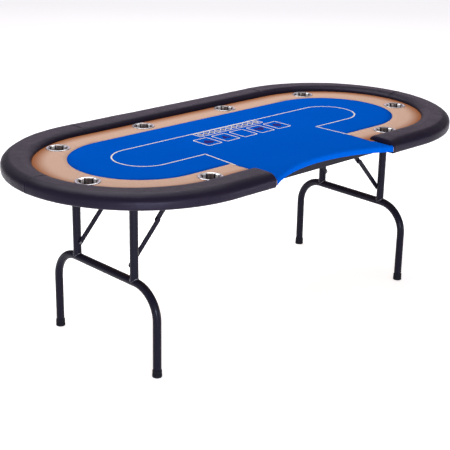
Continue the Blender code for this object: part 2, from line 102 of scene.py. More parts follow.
class Finish:
    """A Principled material whose colour, roughness and relief come from procedural nodes."""

    def __init__(self, name, roughness, metallic=0.0, **fixed):
        self.material = bpy.data.materials.new(name)
        self.material.use_nodes = True
        self.tree = self.material.node_tree
        self.shader = self.tree.nodes["Principled BSDF"]
        self.shader.inputs["Roughness"].default_value = roughness
        self.shader.inputs["Metallic"].default_value = metallic
        for name, value in fixed.items():
            self.shader.inputs[name.replace("_", " ")].default_value = value
        self.where = self.tree.nodes.new("ShaderNodeTexCoord").outputs["Object"]

    def node(self, kind, inputs, output=0, **settings):
        made = self.tree.nodes.new("ShaderNode" + kind)
        for key, value in settings.items():
            setattr(made, key, value)
        for key, value in inputs.items():
            self.feed(made.inputs[key], value)
        return made.outputs[output]

    def feed(self, socket, value):
        if isinstance(value, bpy.types.NodeSocket):
            self.tree.links.new(value, socket)
        else:
            socket.default_value = value

    def stretched(self, scale):
        return self.node("Mapping", {"Vector": self.where, "Scale": scale})

    def noise(self, scale, detail=3.0, rough=0.55, stretch=None, where=None):
        place = where or (self.stretched(stretch) if stretch else self.where)
        inputs = {"Vector": place, "Scale": scale, "Detail": detail, "Roughness": rough}
        return self.node("TexNoise", inputs)

    def cells(self, scale, feature="F1", where=None):
        return self.node("TexVoronoi", {"Vector": where or self.where, "Scale": scale}, feature=feature)

    def waves(self, period, direction, distortion=0.0):
        """Ridges across one axis, a period in metres apart."""
        inputs = {"Vector": self.where, "Scale": math.pi / (10 * period), "Distortion": distortion}
        inputs["Detail Scale"] = 2.0
        return self.node("TexWave", inputs, "Fac", bands_direction=direction)

    def math(self, operation, a, b=0.0):
        return self.node("Math", {0: a, 1: b}, operation=operation)

    def ranged(self, value, low, high, to_low=0.0, to_high=1.0, smooth=False):
        inputs = {"Value": value, "From Min": low, "From Max": high, "To Min": to_low, "To Max": to_high}
        return self.node("MapRange", inputs, interpolation_type="SMOOTHSTEP" if smooth else "LINEAR")

    def mix(self, share, a, b, blend="MIX"):
        inputs = {"Factor": share, 6: a, 7: b}
        return self.node("Mix", inputs, 2, data_type="RGBA", blend_type=blend)

    def colour(self, value):
        self.feed(self.shader.inputs["Base Color"], value)

    def roughness(self, value):
        self.feed(self.shader.inputs["Roughness"], value)

    def relief(self, *layers):
        """Stacks bump layers, each (height, depth in metres, strength), the broadest first."""
        normal = None
        for height, depth, strength in layers:
            inputs = {"Height": height, "Distance": depth, "Strength": strength}
            if normal:
                inputs["Normal"] = normal
            normal = self.node("Bump", inputs)
        self.feed(self.shader.inputs["Normal"], normal)

    def sectors(self, count, first):
        """A wave from -1 to 1 round the middle of the piece, at its crest at the first angle; it lays out the
        cups' painted reflections.
        """
        place = self.tree.nodes.new("ShaderNodeTexCoord").outputs["Generated"]
        x = self.math("SUBTRACT", self.node("SeparateXYZ", {0: place}, "X"), 0.5)
        y = self.math("SUBTRACT", self.node("SeparateXYZ", {0: place}, "Y"), 0.5)
        turned = self.math("SUBTRACT", self.math("ARCTAN2", y, x), first)
        return self.math("COSINE", self.math("MULTIPLY", turned, count))

    def axis(self, name):
        return self.node("SeparateXYZ", {0: self.where}, name)


def make_vinyl():
    made = Finish("black_vinyl", 0.38, Specular_IOR_Level=0.13, Specular_Tint=(0.82, 0.72, 1.0, 1.0))
    grain = made.cells(620, "DISTANCE_TO_EDGE")
    creases = made.ranged(grain, 0.0, 0.12)
    pores = made.noise(1400, 2)
    broad = made.noise(7, 3)
    tone = made.mix(broad, rgb(24, 19, 32), rgb(30, 24, 38))
    made.colour(made.mix(made.ranged(creases, 0, 1, 0.35, 0.0), tone, rgb(14, 12, 18)))
    made.roughness(made.ranged(made.noise(38, 4), 0.3, 0.75, 0.34, 0.42))
    lumps = made.noise(95, 2)
    made.relief((broad, 0.004, 0.12), (lumps, 0.0009, 0.18), (creases, 0.00012, 0.5), (pores, 0.00005, 0.3))
    return made.material


def woven(name, period, roughness, sheen, specular):
    """A cloth finish with its two thread directions; returns it with the height of the weave."""
    made = Finish(name, roughness, Sheen_Weight=sheen, Sheen_Roughness=0.45, Specular_IOR_Level=specular)
    warp = made.waves(period, "X", 0.6)
    weft = made.waves(period, "Y", 0.6)
    weave = made.math("MULTIPLY", warp, weft)
    return made, weave


def make_blue_cloth():
    made, weave = woven("blue_speed_cloth", 0.0008, 0.9, 0.0, 0.0)
    broad = made.noise(3.0, 3)
    fibre = made.noise(420, 3, 0.6, (1.0, 0.35, 1.0))
    tone = made.mix(broad, rgb(0, 82, 184), rgb(2, 92, 200))
    tone = made.mix(made.ranged(fibre, 0.3, 0.75, 0.0, 0.30), tone, rgb(0, 66, 158))
    made.colour(made.mix(made.ranged(weave, 0.0, 0.9, 0.14, 0.0), tone, rgb(0, 56, 140)))
    made.roughness(made.ranged(fibre, 0.2, 0.8, 0.76, 0.9))
    made.relief((made.noise(26, 2), 0.0006, 0.12), (fibre, 0.0002, 0.25), (weave, 0.00012, 0.35))
    return made.material


def make_tan_cloth():
    made, weave = woven("tan_racetrack_cloth", 0.0011, 0.9, 0.0, 0.08)
    # Distance from the rail's inner line, for a painted shadow of the rail on the cloth
    along = made.math("MAXIMUM", made.math("SUBTRACT", made.math("ABSOLUTE", made.axis("X")), HALF_STRAIGHT))
    along = made.math("MULTIPLY", along, RAIL_INNER / (RAIL_INNER + END_STRETCH))
    squares = made.math("ADD", made.math("MULTIPLY", along, along), made.math("POWER", made.axis("Y"), 2.0))
    radius = made.math("POWER", squares, 0.5)
    edge = made.ranged(radius, RAIL_INNER - 0.062, RAIL_INNER + 0.002, smooth=True)
    grain = made.noise(260, 4, 0.7)
    slub = made.noise(120, 3, 0.6, (1.0, 6.0, 1.0))
    tone = made.mix(made.ranged(grain, 0.3, 0.7), rgb(190, 155, 133), rgb(212, 178, 157))
    tone = made.mix(made.ranged(slub, 0.35, 0.7, 0.0, 0.35), tone, rgb(181, 146, 124))
    # Painted shadow: the cloth darkens to orange-brown over the last 62 mm before the rail's inner foot
    tone = made.mix(made.ranged(edge, 0.0, 1.0, 0.0, 0.92), tone, rgb(146, 82, 34))
    made.colour(tone)
    made.roughness(made.ranged(grain, 0.2, 0.8, 0.78, 0.92))
    made.relief((grain, 0.0003, 0.3), (weave, 0.00015, 0.4))
    return made.material


def make_print(name, colour, worn):
    made = Finish(name, 0.8, Specular_IOR_Level=0.05)
    threads = made.noise(700, 2)
    made.colour(made.mix(made.ranged(threads, 0.35, 0.75), colour, worn))
    made.relief((threads, 0.0001, 0.3))
    return made.material


def make_stainless():
    made = Finish("spun_stainless", 0.2, 0.62)
    turning = made.noise(55, 3, 0.6, (1.0, 1.0, 60.0))
    smudge = made.noise(60, 4)
    # Painted reflection: below the flange's crown the colour is four-fold dark, grey and white sectors,
    # standing in for reflected surroundings and lamps
    inside_cup = made.ranged(made.axis("Z"), CUP_TOP - 0.0012, CUP_TOP - 0.0007, 1.0, 0.0)
    painted_reflection_fan = made.sectors(4, math.radians(46))
    sheen = made.mix(made.ranged(painted_reflection_fan, 0.0, 0.35, smooth=True), rgb(58, 54, 56), rgb(132, 122, 118))
    sheen = made.mix(made.ranged(painted_reflection_fan, -0.55, -0.75, smooth=True), sheen, rgb(252, 250, 248))
    made.colour(made.mix(inside_cup, made.mix(turning, rgb(186, 184, 190), rgb(212, 211, 214)), sheen))
    made.roughness(made.ranged(smudge, 0.3, 0.8, 0.17, 0.26))
    made.relief((turning, 0.00002, 0.05))
    return made.material


def make_enamel():
    made = Finish("black_powder_coat", 0.34, Specular_IOR_Level=0.1, Specular_Tint=(0.88, 0.88, 1.0, 1.0))
    peel = made.noise(640, 2)
    scuff = made.ranged(made.noise(28, 6, 0.7, (1.0, 1.0, 0.25)), 0.62, 0.72)
    made.colour(made.mix(made.ranged(scuff, 0, 1, 0, 0.35), rgb(20, 18, 30), rgb(38, 36, 48)))
    made.roughness(made.ranged(scuff, 0, 1, 0.27, 0.42))
    made.relief((peel, 0.00008, 0.35))
    return made.material


def make_weld():
    """The same coating over the ripples of a weld, thicker and shinier, with painted glints on the ripples'
    crests.
    """
    made = Finish("coated_weld", 0.22, Specular_IOR_Level=0.75)
    ripple = made.noise(520, 2)
    # Painted highlight: the ripples' crests are painted light lavender grey as glints
    made.colour(made.mix(made.ranged(ripple, 0.45, 0.7), rgb(30, 28, 38), rgb(150, 148, 160)))
    made.roughness(made.ranged(ripple, 0.3, 0.8, 0.16, 0.34))
    made.relief((ripple, 0.0004, 0.6))
    return made.material


def make_black_screw():
    made = Finish("blackened_screw", 0.38, 0.8)
    scuffs = made.noise(900, 3)
    made.colour(made.mix(made.ranged(scuffs, 0.45, 0.75), rgb(44, 43, 46), rgb(120, 120, 124)))
    made.roughness(made.ranged(scuffs, 0.3, 0.8, 0.3, 0.48))
    made.relief((scuffs, 0.0001, 0.3))
    return made.material


def make_zinc():
    made = Finish("zinc_rivet", 0.32, 0.95)
    spots = made.noise(420, 4)
    made.colour(made.mix(spots, rgb(74, 73, 78), rgb(118, 117, 122)))
    made.roughness(made.ranged(spots, 0.3, 0.7, 0.24, 0.42))
    made.relief((spots, 0.0001, 0.3))
    return made.material


def make_rubber():
    made = Finish("black_rubber", 0.6, Specular_IOR_Level=0.1)
    dust = made.ranged(made.axis("Z"), 0.0, 0.012, 1.0, 0.0)
    speck = made.noise(340, 4)
    share = made.math("MULTIPLY", dust, made.ranged(speck, 0.4, 0.8, 0.0, 0.3))
    made.colour(made.mix(share, rgb(20, 18, 27), rgb(78, 74, 78)))
    made.roughness(made.ranged(speck, 0.3, 0.8, 0.6, 0.78))
    made.relief((speck, 0.0002, 0.3))
    return made.material


def wood_grain(made, dark, light, stretch):
    rings = made.noise(34, 5, 0.6, stretch)
    fine = made.noise(260, 3, 0.6, stretch)
    tone = made.mix(made.ranged(rings, 0.3, 0.7), dark, light)
    return made.mix(made.ranged(fine, 0.35, 0.75, 0.0, 0.35), tone, dark), fine


def make_plywood():
    """Birch plywood: long grain on the faces and thin dark glue lines through the edges."""
    made = Finish("birch_plywood", 0.62, Specular_IOR_Level=0.35)
    tone, fine = wood_grain(made, rgb(166, 128, 84), rgb(205, 172, 124), (0.06, 1.0, 1.0))
    plies = made.waves(0.0026, "Z", 0.3)
    made.colour(made.mix(made.ranged(plies, 0.62, 0.95, 0.0, 0.28), tone, rgb(120, 82, 48)))
    made.relief((fine, 0.0003, 0.25))
    return made.material


def make_black_wood():
    made = Finish("black_stained_wood", 0.55, Specular_IOR_Level=0.12)
    tone, fine = wood_grain(made, rgb(18, 16, 23), rgb(31, 27, 37), (0.05, 1.0, 1.0))
    made.colour(tone)
    made.roughness(made.ranged(fine, 0.3, 0.8, 0.42, 0.58))
    made.relief((fine, 0.0004, 0.35))
    return made.material


def make_foam():
    made = Finish("grey_foam", 0.95, Specular_IOR_Level=0.1)
    cells = made.cells(900)
    made.colour(made.mix(cells, rgb(52, 52, 56), rgb(84, 84, 88)))
    made.relief((cells, 0.0004, 0.5))
    return made.material


VINYL = make_vinyl()
BLUE = make_blue_cloth()
TAN = make_tan_cloth()
WHITE_PRINT = make_print("white_print", rgb(240, 232, 212), rgb(216, 208, 192))
DARK_PRINT = make_print("dark_print", rgb(38, 28, 100), rgb(34, 30, 116))
GOLD_PRINT = make_print("gold_print", rgb(176, 158, 112), rgb(120, 118, 120))
STAINLESS = make_stainless()
ENAMEL = make_enamel()
ZINC = make_zinc()
RUBBER = make_rubber()
PLYWOOD = make_plywood()
BLACK_WOOD = make_black_wood()
FOAM = make_foam()
WELD = make_weld()
BLACK_SCREW = make_black_screw()
THREAD = make_print("black_thread", rgb(30, 28, 35), rgb(52, 50, 58))


# Mesh building


def piece(name, build, finish, body, stands_for=(), sharp=35):
    """Makes a smooth-shaded object of a bmesh that rides on a CAD body, in place of some CAD nodes."""
    bmesh.ops.recalc_face_normals(build, faces=build.faces)
    mesh = bpy.data.meshes.new(name)
    build.to_mesh(mesh)
    build.free()
    mesh.materials.append(finish)
    mesh.shade_smooth()
    mesh.set_sharp_from_angle(angle=math.radians(sharp))
    made = bpy.data.objects.new(name, mesh)
    bpy.context.scene.collection.objects.link(made)
    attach(made, body)
    if stands_for:
        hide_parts(*stands_for)
    return made


def add_ring(build, line, level, place):
    """Vertices of a plan line at one level; place turns (u, v, level) into a point."""
    return [build.verts.new(place(u, v, level)) for u, v in line]


def add_wall(build, near, far):
    """Quads between two equal closed rings of vertices."""
    for i, vert in enumerate(near):
        j = (i + 1) % len(near)
        build.faces.new((vert, near[j], far[j], far[i]))


def flat_on(u, v, level):
    return (u, v, level)


def along_y(u, v, level):
    return (u, level, v)


def along_x(u, v, level):
    return (level, u, v)


def add_skin(build, rings, loop=False):
    """Joins equal closed rings of points; loop joins the last ring to the first, else the ends are closed."""
    rows = [[build.verts.new(point) for point in ring] for ring in rings]
    pairs = list(zip(rows, rows[1:]))
    if loop:
        pairs.append((rows[-1], rows[0]))
    for near, far in pairs:
        add_wall(build, near, far)
    if not loop:
        build.faces.new(reversed(rows[0]))
        build.faces.new(rows[-1])
    return build


def arc(centre, radius, first, last, count):
    return [
        (centre[0] + radius * math.cos(a), centre[1] + radius * math.sin(a))
        for a in steps(math.radians(first), math.radians(last), count)
    ]


def circle(radius, sides):
    return [(radius * math.cos(a), radius * math.sin(a)) for a in steps(0, 2 * math.pi, sides)[:-1]]


def add_lathe(build, profile, centre, sides):
    """Turns a profile of (radius, z) that starts and ends on the axis round a vertical line."""
    bottom = build.verts.new((*centre, profile[0][1]))
    top = build.verts.new((*centre, profile[-1][1]))
    rows = []
    for radius, z in profile[1:-1]:
        rows.append([build.verts.new((centre[0] + x, centre[1] + y, z)) for x, y in circle(radius, sides)])
    for i in range(sides):
        j = (i + 1) % sides
        build.faces.new((bottom, rows[0][j], rows[0][i]))
        build.faces.new((top, rows[-1][i], rows[-1][j]))
    for near, far in zip(rows, rows[1:]):
        add_wall(build, near, far)
    return build


def polar(centre_x, angle, radius):
    return centre_x + radius * math.cos(angle), radius * math.sin(angle)


# The padded rail

INNER_ROUND = 0.020
INNER_WIDTH = 0.032  # the inner edge is rounded wider than it is high
OUTER_ROUND = 0.026
OUTER_WIDTH = 0.038  # the outer edge falls away wider than it is high
LOW_ROUND = 0.010
UNDER_WRAP = 0.505  # the vinyl is stapled under the rail up to here
COVER = 0.0012
STATION = 0.0062  # spacing of the rail's mesh along and across it
END_ROUND = 0.010
SWELL_CAP = 0.0022  # how far the padding may push the vinyl out
EVEN_OUT = 41  # stations over which the swelling is evened out
SEAM_DEPTH = 0.0013
SEAM_WIDTH = 0.0016
SEAM_FINE = (-0.008, -0.005, -0.0034, -0.0022, -0.0012, 0.0, 0.0012, 0.0022, 0.0034, 0.005, 0.008)
STITCH_OFFSET = 0.0040
STITCH_LENGTH = 0.0042
STITCH_GAP = 0.0018
THREAD_RADIUS = 0.00038
END_BULGE = 0.0008
END_STAR = (0.470, 0.7525)  # a point of the end face that sees all its edge
RAIL_GAP = 0.0015
FAR_SEAM_IN = 0.008  # the far seams' distances in from the right and the left end of the far straight
FAR_SEAM_BACK = 0.038
SEAM_RIDGE = 0.3  # the vinyl stands up beside a seam, by this share of its depth
RIDGE_AWAY = 0.0045
RIDGE_WIDTH = 0.0022
LUMPS = ((0.0007, 0.10, 1), (0.0003, 0.032, 2))  # height, size and seed of the padding's unevenness
CALM_ENDS = 0.03  # the unevenness fades out over this length at each end
FACE_RINGS = (0.85, 0.6, 0.3)
SWELL_FRAMES = 20


def rail_profile():
    """(radius, z) over the padding, from its inner foot to the end of the wrap under the rail."""
    inner, outer = RAIL_INNER, RAIL_OUTER
    points = [(inner, SURFACE + GAP)]
    for turn in steps(0.0, math.pi / 2, 12):
        high = RAIL_TOP - INNER_ROUND * (1 - math.sin(turn))
        points.append((inner + INNER_WIDTH * (1 - math.cos(turn)), high))
    for turn in steps(math.pi / 2, 0.0, 14):
        high = RAIL_TOP - OUTER_ROUND * (1 - math.sin(turn))
        points.append((outer - OUTER_WIDTH * (1 - math.cos(turn)), high))
    points += arc((outer - LOW_ROUND, RAIL_BOTTOM + LOW_ROUND), LOW_ROUND, 0, -90, 8)
    points += [(UNDER_WRAP, RAIL_BOTTOM)]
    return spaced(points, STATION * 0.72)


def spaced(points, gap):
    """The same line with points an even distance apart."""
    line = np.array(points, float)
    along = np.concatenate([[0], np.cumsum(np.linalg.norm(np.diff(line, axis=0), axis=1))])
    wanted = np.linspace(0, along[-1], max(2, round(along[-1] / gap)) + 1)
    return np.stack([np.interp(wanted, along, line[:, i]) for i in range(line.shape[1])], 1)


NEAR_STRAIGHT = HALF_STRAIGHT - DEALER_HALF_GAP
END_LENGTH = math.pi * (RAIL_INNER + RAIL_OUTER) / 2
RAIL_LENGTH = 2 * (NEAR_STRAIGHT + END_LENGTH + HALF_STRAIGHT)


def on_rail(along):
    """(centre x, angle) at a distance along the rail's middle line from its right-hand end."""
    if along < NEAR_STRAIGHT:
        return DEALER_HALF_GAP + along, -math.pi / 2
    along -= NEAR_STRAIGHT
    if along < END_LENGTH:
        return HALF_STRAIGHT, -math.pi / 2 + math.pi * along / END_LENGTH
    along -= END_LENGTH
    if along < 2 * HALF_STRAIGHT:
        return HALF_STRAIGHT - along, math.pi / 2
    along -= 2 * HALF_STRAIGHT
    if along < END_LENGTH:
        return -HALF_STRAIGHT, math.pi / 2 + math.pi * along / END_LENGTH
    return -HALF_STRAIGHT + along - END_LENGTH, 1.5 * math.pi


def rail_point(along, radius):
    """The plan point at a distance along the rail and a distance from its middle line."""
    return polar(*on_rail(along), radius)


def rail_grid(alongs, profile):
    """Points of the swept section, one row for each distance along the rail."""
    rows = []
    fade = (RAIL_INNER + INNER_WIDTH, RAIL_OUTER - OUTER_ROUND)
    stretch = END_STRETCH * np.interp(profile[:, 0], fade, (1, 0))
    for along in alongs:
        centre_x, angle = on_rail(along)
        x = centre_x + (profile[:, 0] + stretch) * math.cos(angle)
        rows.append(np.stack([x, profile[:, 0] * math.sin(angle), profile[:, 1]], 1))
    return np.array(rows)


def swell(grid, free):
    """Blows the padding's skin out a little with Cloth, its edges held, and returns the new points."""
    stations, across = grid.shape[:2]
    faces = []
    for i in range(stations - 1):
        for j in range(across - 1):
            a = i * across + j
            faces.append((a, a + 1, a + across + 1, a + across))
    mesh = bpy.data.meshes.new("swelling")
    mesh.from_pydata(grid.reshape(-1, 3).tolist(), [], faces)
    made = bpy.data.objects.new("swelling", mesh)
    bpy.context.scene.collection.objects.link(made)
    held = made.vertex_groups.new(name="held")
    for j in range(across):
        if not free[j]:
            held.add([i * across + j for i in range(stations)], 1.0, "REPLACE")
    held.add(list(range(across)), 1.0, "REPLACE")
    held.add(list(range((stations - 1) * across, stations * across)), 1.0, "REPLACE")
    cloth = made.modifiers.new("cloth", "CLOTH")
    settings = cloth.settings
    settings.quality = 4
    settings.mass = 0.4
    settings.tension_stiffness = 25
    settings.compression_stiffness = 25
    settings.shear_stiffness = 12
    settings.bending_stiffness = 6
    settings.use_pressure = True
    settings.uniform_pressure_force = 4
    settings.vertex_group_mass = "held"
    settings.effector_weights.gravity = 0
    cloth.collision_settings.use_collision = False
    for frame_number in range(1, SWELL_FRAMES + 1):
        bpy.context.scene.frame_set(frame_number)
    shown = made.evaluated_get(bpy.context.evaluated_depsgraph_get())
    found = np.array([v.co for v in shown.data.vertices], float).reshape(grid.shape)
    bpy.data.objects.remove(made)
    bpy.context.scene.frame_set(1)
    return found


def capped(start, moved, most):
    """Keeps the movement under a limit and evens it out along the rail, as taut vinyl does."""
    step = moved - start
    size = np.linalg.norm(step, axis=2, keepdims=True)
    step = step * np.minimum(1, most / np.maximum(size, 1e-9))
    kernel = np.hanning(EVEN_OUT)
    kernel /= kernel.sum()
    for row in step.reshape(len(step), -1).T:
        row[:] = np.convolve(np.pad(row, EVEN_OUT // 2, mode="edge"), kernel, "valid")
    return start + step


def smooth_noise(grid, size, seed):
    """A slowly varying number from -1 to 1 at each point, the same each run."""
    shift = Vector((seed * 11.3, seed * 5.7, seed * 3.1))
    return np.array([[noise.noise(Vector(p) / size + shift) for p in row] for row in grid])


def outward(grid):
    """Unit normals of the grid's surface, away from the padding."""
    along = np.gradient(grid, axis=0)
    across = np.gradient(grid, axis=1)
    normal = np.cross(across, along)
    return normal / np.maximum(np.linalg.norm(normal, axis=2, keepdims=True), 1e-9)


def at(alongs, grid, wanted):
    """The grid's rows read at other distances along the rail."""
    flat = grid.reshape(len(alongs), -1)
    out = np.stack([np.interp(wanted, alongs, flat[:, i]) for i in range(flat.shape[1])], 1)
    return out.reshape(len(wanted), *grid.shape[1:])


def seam_places():
    """Where the vinyl's panels meet: the middle of each round end, and near the far straight's ends."""
    right_start = NEAR_STRAIGHT
    far_start = NEAR_STRAIGHT + END_LENGTH
    left_start = far_start + 2 * HALF_STRAIGHT
    middle = END_LENGTH / 2
    return [right_start + middle, far_start + FAR_SEAM_IN, left_start - FAR_SEAM_BACK, left_start + middle]


def section_normals(section):
    """Unit normals of a section, pointing away from the padding, in (radius, z)."""
    ahead = np.gradient(section, axis=0)
    normal = np.stack([-ahead[:, 1], ahead[:, 0]], 1)
    return normal / np.linalg.norm(normal, axis=1, keepdims=True)


def back_of_section(notched):
    """The five hidden points that close a section: round the plywood base, or straight across at an end."""
    inner = BOARD_RADIUS + RAIL_GAP
    if notched:
        wrap_top = RAIL_BOTTOM + COVER
        floor = BOARD_BOTTOM + GAP
        outer = BASE_OUTER + GAP
        low = [(UNDER_WRAP, wrap_top), (outer, wrap_top), (outer, floor), (inner, floor)]
    else:
        low = [(radius, RAIL_BOTTOM) for radius in steps(UNDER_WRAP, inner, 4)[1:]]
    return np.array(low + [(inner, SURFACE + GAP)])


def place_on_rail(alongs, section):
    """Plan points of a section whose points lie at their own distances along the rail."""
    return [(*rail_point(along, radius), z) for along, (radius, z) in zip(alongs, section)]


def rail_end(section, from_end):
    """Rings that close one end, from the flat face at the gap to a full section; from_end maps distances."""
    normal = section_normals(section)
    share = np.interp(normal[:, 1], (-1.0, -0.2, 0.3, 1.0), (0.12, 0.5, 0.75, 1.0))
    rings = []
    for turn in steps(math.pi / 2, 0.0, 12):
        depth = END_ROUND * (1 - math.sin(turn))
        inset = END_ROUND * (1 - math.cos(turn))
        front = section - normal * (share * inset)[:, None]
        back = back_of_section(notched=depth > COVER)
        depths = np.concatenate([share * depth, np.full(len(back), depth)])
        rings.append(place_on_rail(from_end(depths), np.concatenate([front, back])))
    face = np.concatenate([section - normal * (share * END_ROUND)[:, None], back_of_section(notched=False)])
    for scale in FACE_RINGS:
        bulge = np.full(len(face), END_BULGE * (scale ** 2 - 1))
        inside = np.array(END_STAR) + (face - END_STAR) * scale
        rings.insert(0, place_on_rail(from_end(bulge), inside))
    return rings


def rail_surface():
    """The padded skin before its seams: distances along the rail and the grid of points."""
    profile = rail_profile()
    alongs = np.linspace(0, RAIL_LENGTH, round(RAIL_LENGTH / STATION) + 1)
    grid = rail_grid(alongs, profile)
    free = profile[:, 1] > RAIL_BOTTOM + LOW_ROUND / 2
    free[:3] = False
    grid = capped(grid, swell(grid, free), SWELL_CAP)
    normal = outward(grid)
    broad, small = (height * smooth_noise(grid, size, seed) for height, size, seed in LUMPS)
    lumps = broad + small
    ends = np.minimum(1, np.minimum(alongs, RAIL_LENGTH - alongs) / CALM_ENDS)
    return alongs, grid + normal * (lumps * free * ends[:, None])[:, :, None]


def make_rail():
    alongs, grid = rail_surface()
    wanted = [along for along in alongs if END_ROUND < along < RAIL_LENGTH - END_ROUND]
    for seam in seam_places():
        wanted = [along for along in wanted if abs(along - seam) > SEAM_FINE[-1] * 1.2]
        wanted += [seam + offset for offset in SEAM_FINE]
    wanted = np.array([END_ROUND] + sorted(wanted) + [RAIL_LENGTH - END_ROUND])
    fine = at(alongs, grid, wanted)
    normal = outward(fine)
    depth = np.zeros(len(wanted))
    for seam in seam_places():
        away = np.abs(wanted - seam)
        depth += SEAM_DEPTH * np.exp(-((away / SEAM_WIDTH) ** 2))
        depth -= SEAM_DEPTH * SEAM_RIDGE * np.exp(-(((away - RIDGE_AWAY) / RIDGE_WIDTH) ** 2))
    fine = fine - normal * depth[:, None, None]

    back = back_of_section(notched=True)
    middle = []
    for along, row in zip(wanted, fine):
        middle.append([tuple(point) for point in row] + place_on_rail([along] * len(back), back))
    first, last = fine[0], fine[-1]
    section_first = np.stack([-first[:, 1], first[:, 2]], 1)
    section_last = np.stack([-last[:, 1], last[:, 2]], 1)
    near = rail_end(section_first, lambda depths: depths)
    far = rail_end(section_last, lambda depths: RAIL_LENGTH - depths)
    rings = near[:-1] + middle + list(reversed(far[:-1]))
    build = add_skin(bmesh.new(), rings)
    replaced = ("rail_cover", "rail_foam")
    cushion = piece("rail_cushion", build, VINYL, "table_top", replaced, sharp=60)
    make_seam_thread(wanted, fine, normal)


def make_seam_thread(alongs, grid, normal):
    """Two rows of short stitches beside each seam."""
    build = bmesh.new()
    for seam in seam_places():
        for side in (-STITCH_OFFSET, STITCH_OFFSET):
            line = at(alongs, grid, [seam + side])[0]
            lean = at(alongs, normal, [seam + side])[0]
            size = np.concatenate([[0], np.cumsum(np.linalg.norm(np.diff(line, axis=0), axis=1))])
            start = STITCH_GAP * 2
            while start + STITCH_LENGTH < size[-1] - STITCH_GAP:
                add_stitch(build, line, lean, size, start)
                start += STITCH_LENGTH + STITCH_GAP
    piece("rail_seam_thread", build, THREAD, "table_top")


def add_stitch(build, line, lean, size, start):
    rings = []
    for share in steps(0.0, 1.0, 4):
        place = start + STITCH_LENGTH * share
        point = Vector([np.interp(place, size, line[:, i]) for i in range(3)])
        up = Vector([np.interp(place, size, lean[:, i]) for i in range(3)]).normalized()
        ahead = Vector([np.interp(place + 1e-3, size, line[:, i]) for i in range(3)]) - point
        across = ahead.cross(up).normalized()
        bow = math.sin(math.pi * share)
        centre = point + up * THREAD_RADIUS * (1.6 * bow - 0.9)
        radius = THREAD_RADIUS * (0.55 + 0.45 * bow)
        rings.append([centre + across * u * radius + up * v * radius for u, v in circle(1.0, 6)])
    add_skin(build, rings)


# Flat goods cut from plan outlines


def inside(points, loops):
    """Which points lie within the loops, by counting crossings."""
    found = np.zeros(len(points), bool)
    for loop in loops:
        a = np.array(loop)
        b = np.roll(a, -1, axis=0)
        for (ax, ay), (bx, by) in zip(a, b):
            if ay == by:
                continue
            crosses = (points[:, 1] > ay) != (points[:, 1] > by)
            level_x = ax + (points[:, 1] - ay) * (bx - ax) / (by - ay)
            found ^= crosses & (points[:, 0] < level_x)
    return found


def shifted(loop, distance, closed=True):
    """A line moved to its right-hand side by a distance."""
    line = np.array(loop, float)
    if closed:
        ahead = np.roll(line, -1, axis=0) - np.roll(line, 1, axis=0)
    else:
        ahead = np.gradient(line, axis=0)
    ahead /= np.maximum(np.linalg.norm(ahead, axis=1, keepdims=True), 1e-12)
    return line + distance * np.stack([ahead[:, 1], -ahead[:, 0]], 1)


def fill_plan(loops, spacing=None):
    """Points and triangles over the region between closed loops; the loops' own points come first."""
    points = [tuple(p) for loop in loops for p in loop]
    edges, first = [], 0
    for loop in loops:
        edges += [(first + i, first + (i + 1) % len(loop)) for i in range(len(loop))]
        first += len(loop)
    if spacing:
        low, high = np.min(points, axis=0), np.max(points, axis=0)
        grid_x, grid_y = (np.arange(low[i] + spacing / 2, high[i], spacing) for i in range(2))
        across, up = np.meshgrid(grid_x, grid_y)
        across = across + spacing / 2 * (np.arange(len(across)) % 2)[:, None]
        middle = np.stack([across.ravel(), up.ravel()], 1)
        middle = middle[inside(middle, loops)]
        border = np.array(points)
        clear = [np.min(np.abs(border - p).max(axis=1)) > spacing * 0.6 for p in middle]
        points += [tuple(p) for p in middle[np.array(clear, bool)]]
    made = delaunay_2d_cdt([Vector(p) for p in points], edges, [], 0, 1e-7)
    verts = np.array([tuple(v) for v in made[0]])
    triangles = np.array(made[2])
    return verts, triangles[inside(verts[triangles].mean(axis=1), loops)]


def round_ends(radius, count):
    """Plan points round the right end and then the left end, at a distance from the middle line."""
    right = [polar(HALF_STRAIGHT, a, radius) for a in steps(-math.pi / 2, math.pi / 2, count)]
    left = [polar(-HALF_STRAIGHT, a, radius) for a in steps(math.pi / 2, 1.5 * math.pi, count)]
    return right, left


PLAN_STEP = 0.0075
EDGE_DIP = 0.0004
WRAP_ROUND = 0.009
PANEL_CORNER = 0.010
HEM = 0.016  # how far the cloth is folded under the board
UNDULATION = 0.00012
PUCKER = 0.0004  # gathers in the cloth where it is pulled down over the edge
TAN_SHOULDER = 0.004
FILL_STEP = 0.020  # between the points inside a cloth
DENSE_STEP = 0.001  # for averaging a corner
CUP_HOLE = 0.0358


def lifted(x, y, height):
    """A point on the cloth, which is never perfectly flat."""
    return (x, y, height + UNDULATION * noise.noise(Vector((x, y, 0)) / 0.09))


def add_flat(build, loops):
    """Fills the region between loops at the playing surface; returns its vertices, the loops' own first."""
    verts, triangles = fill_plan(loops, FILL_STEP)
    made = [build.verts.new(lifted(x, y, SURFACE)) for x, y in verts]
    for a, b, c in triangles:
        build.faces.new((made[a], made[b], made[c]))
    return made


def plan_line(start, end):
    return [tuple(p) for p in spaced([start, end], PLAN_STEP)]


def mirrored(points):
    """The same plan points on the other side of the table's middle, in the opposite order."""
    return [(-x, y) for x, y in reversed(points)]


def concave_front(radius, half, count):
    """The dealer's concave edge from left to right, at a radius of its curve and out to a half width."""
    centre_y = CUT_DEPTH_Y - CUT_RADIUS
    turn = math.asin(half / radius)
    turns = steps(math.pi / 2 + turn, math.pi / 2 - turn, count)
    return [(radius * math.cos(a), centre_y + radius * math.sin(a)) for a in turns]


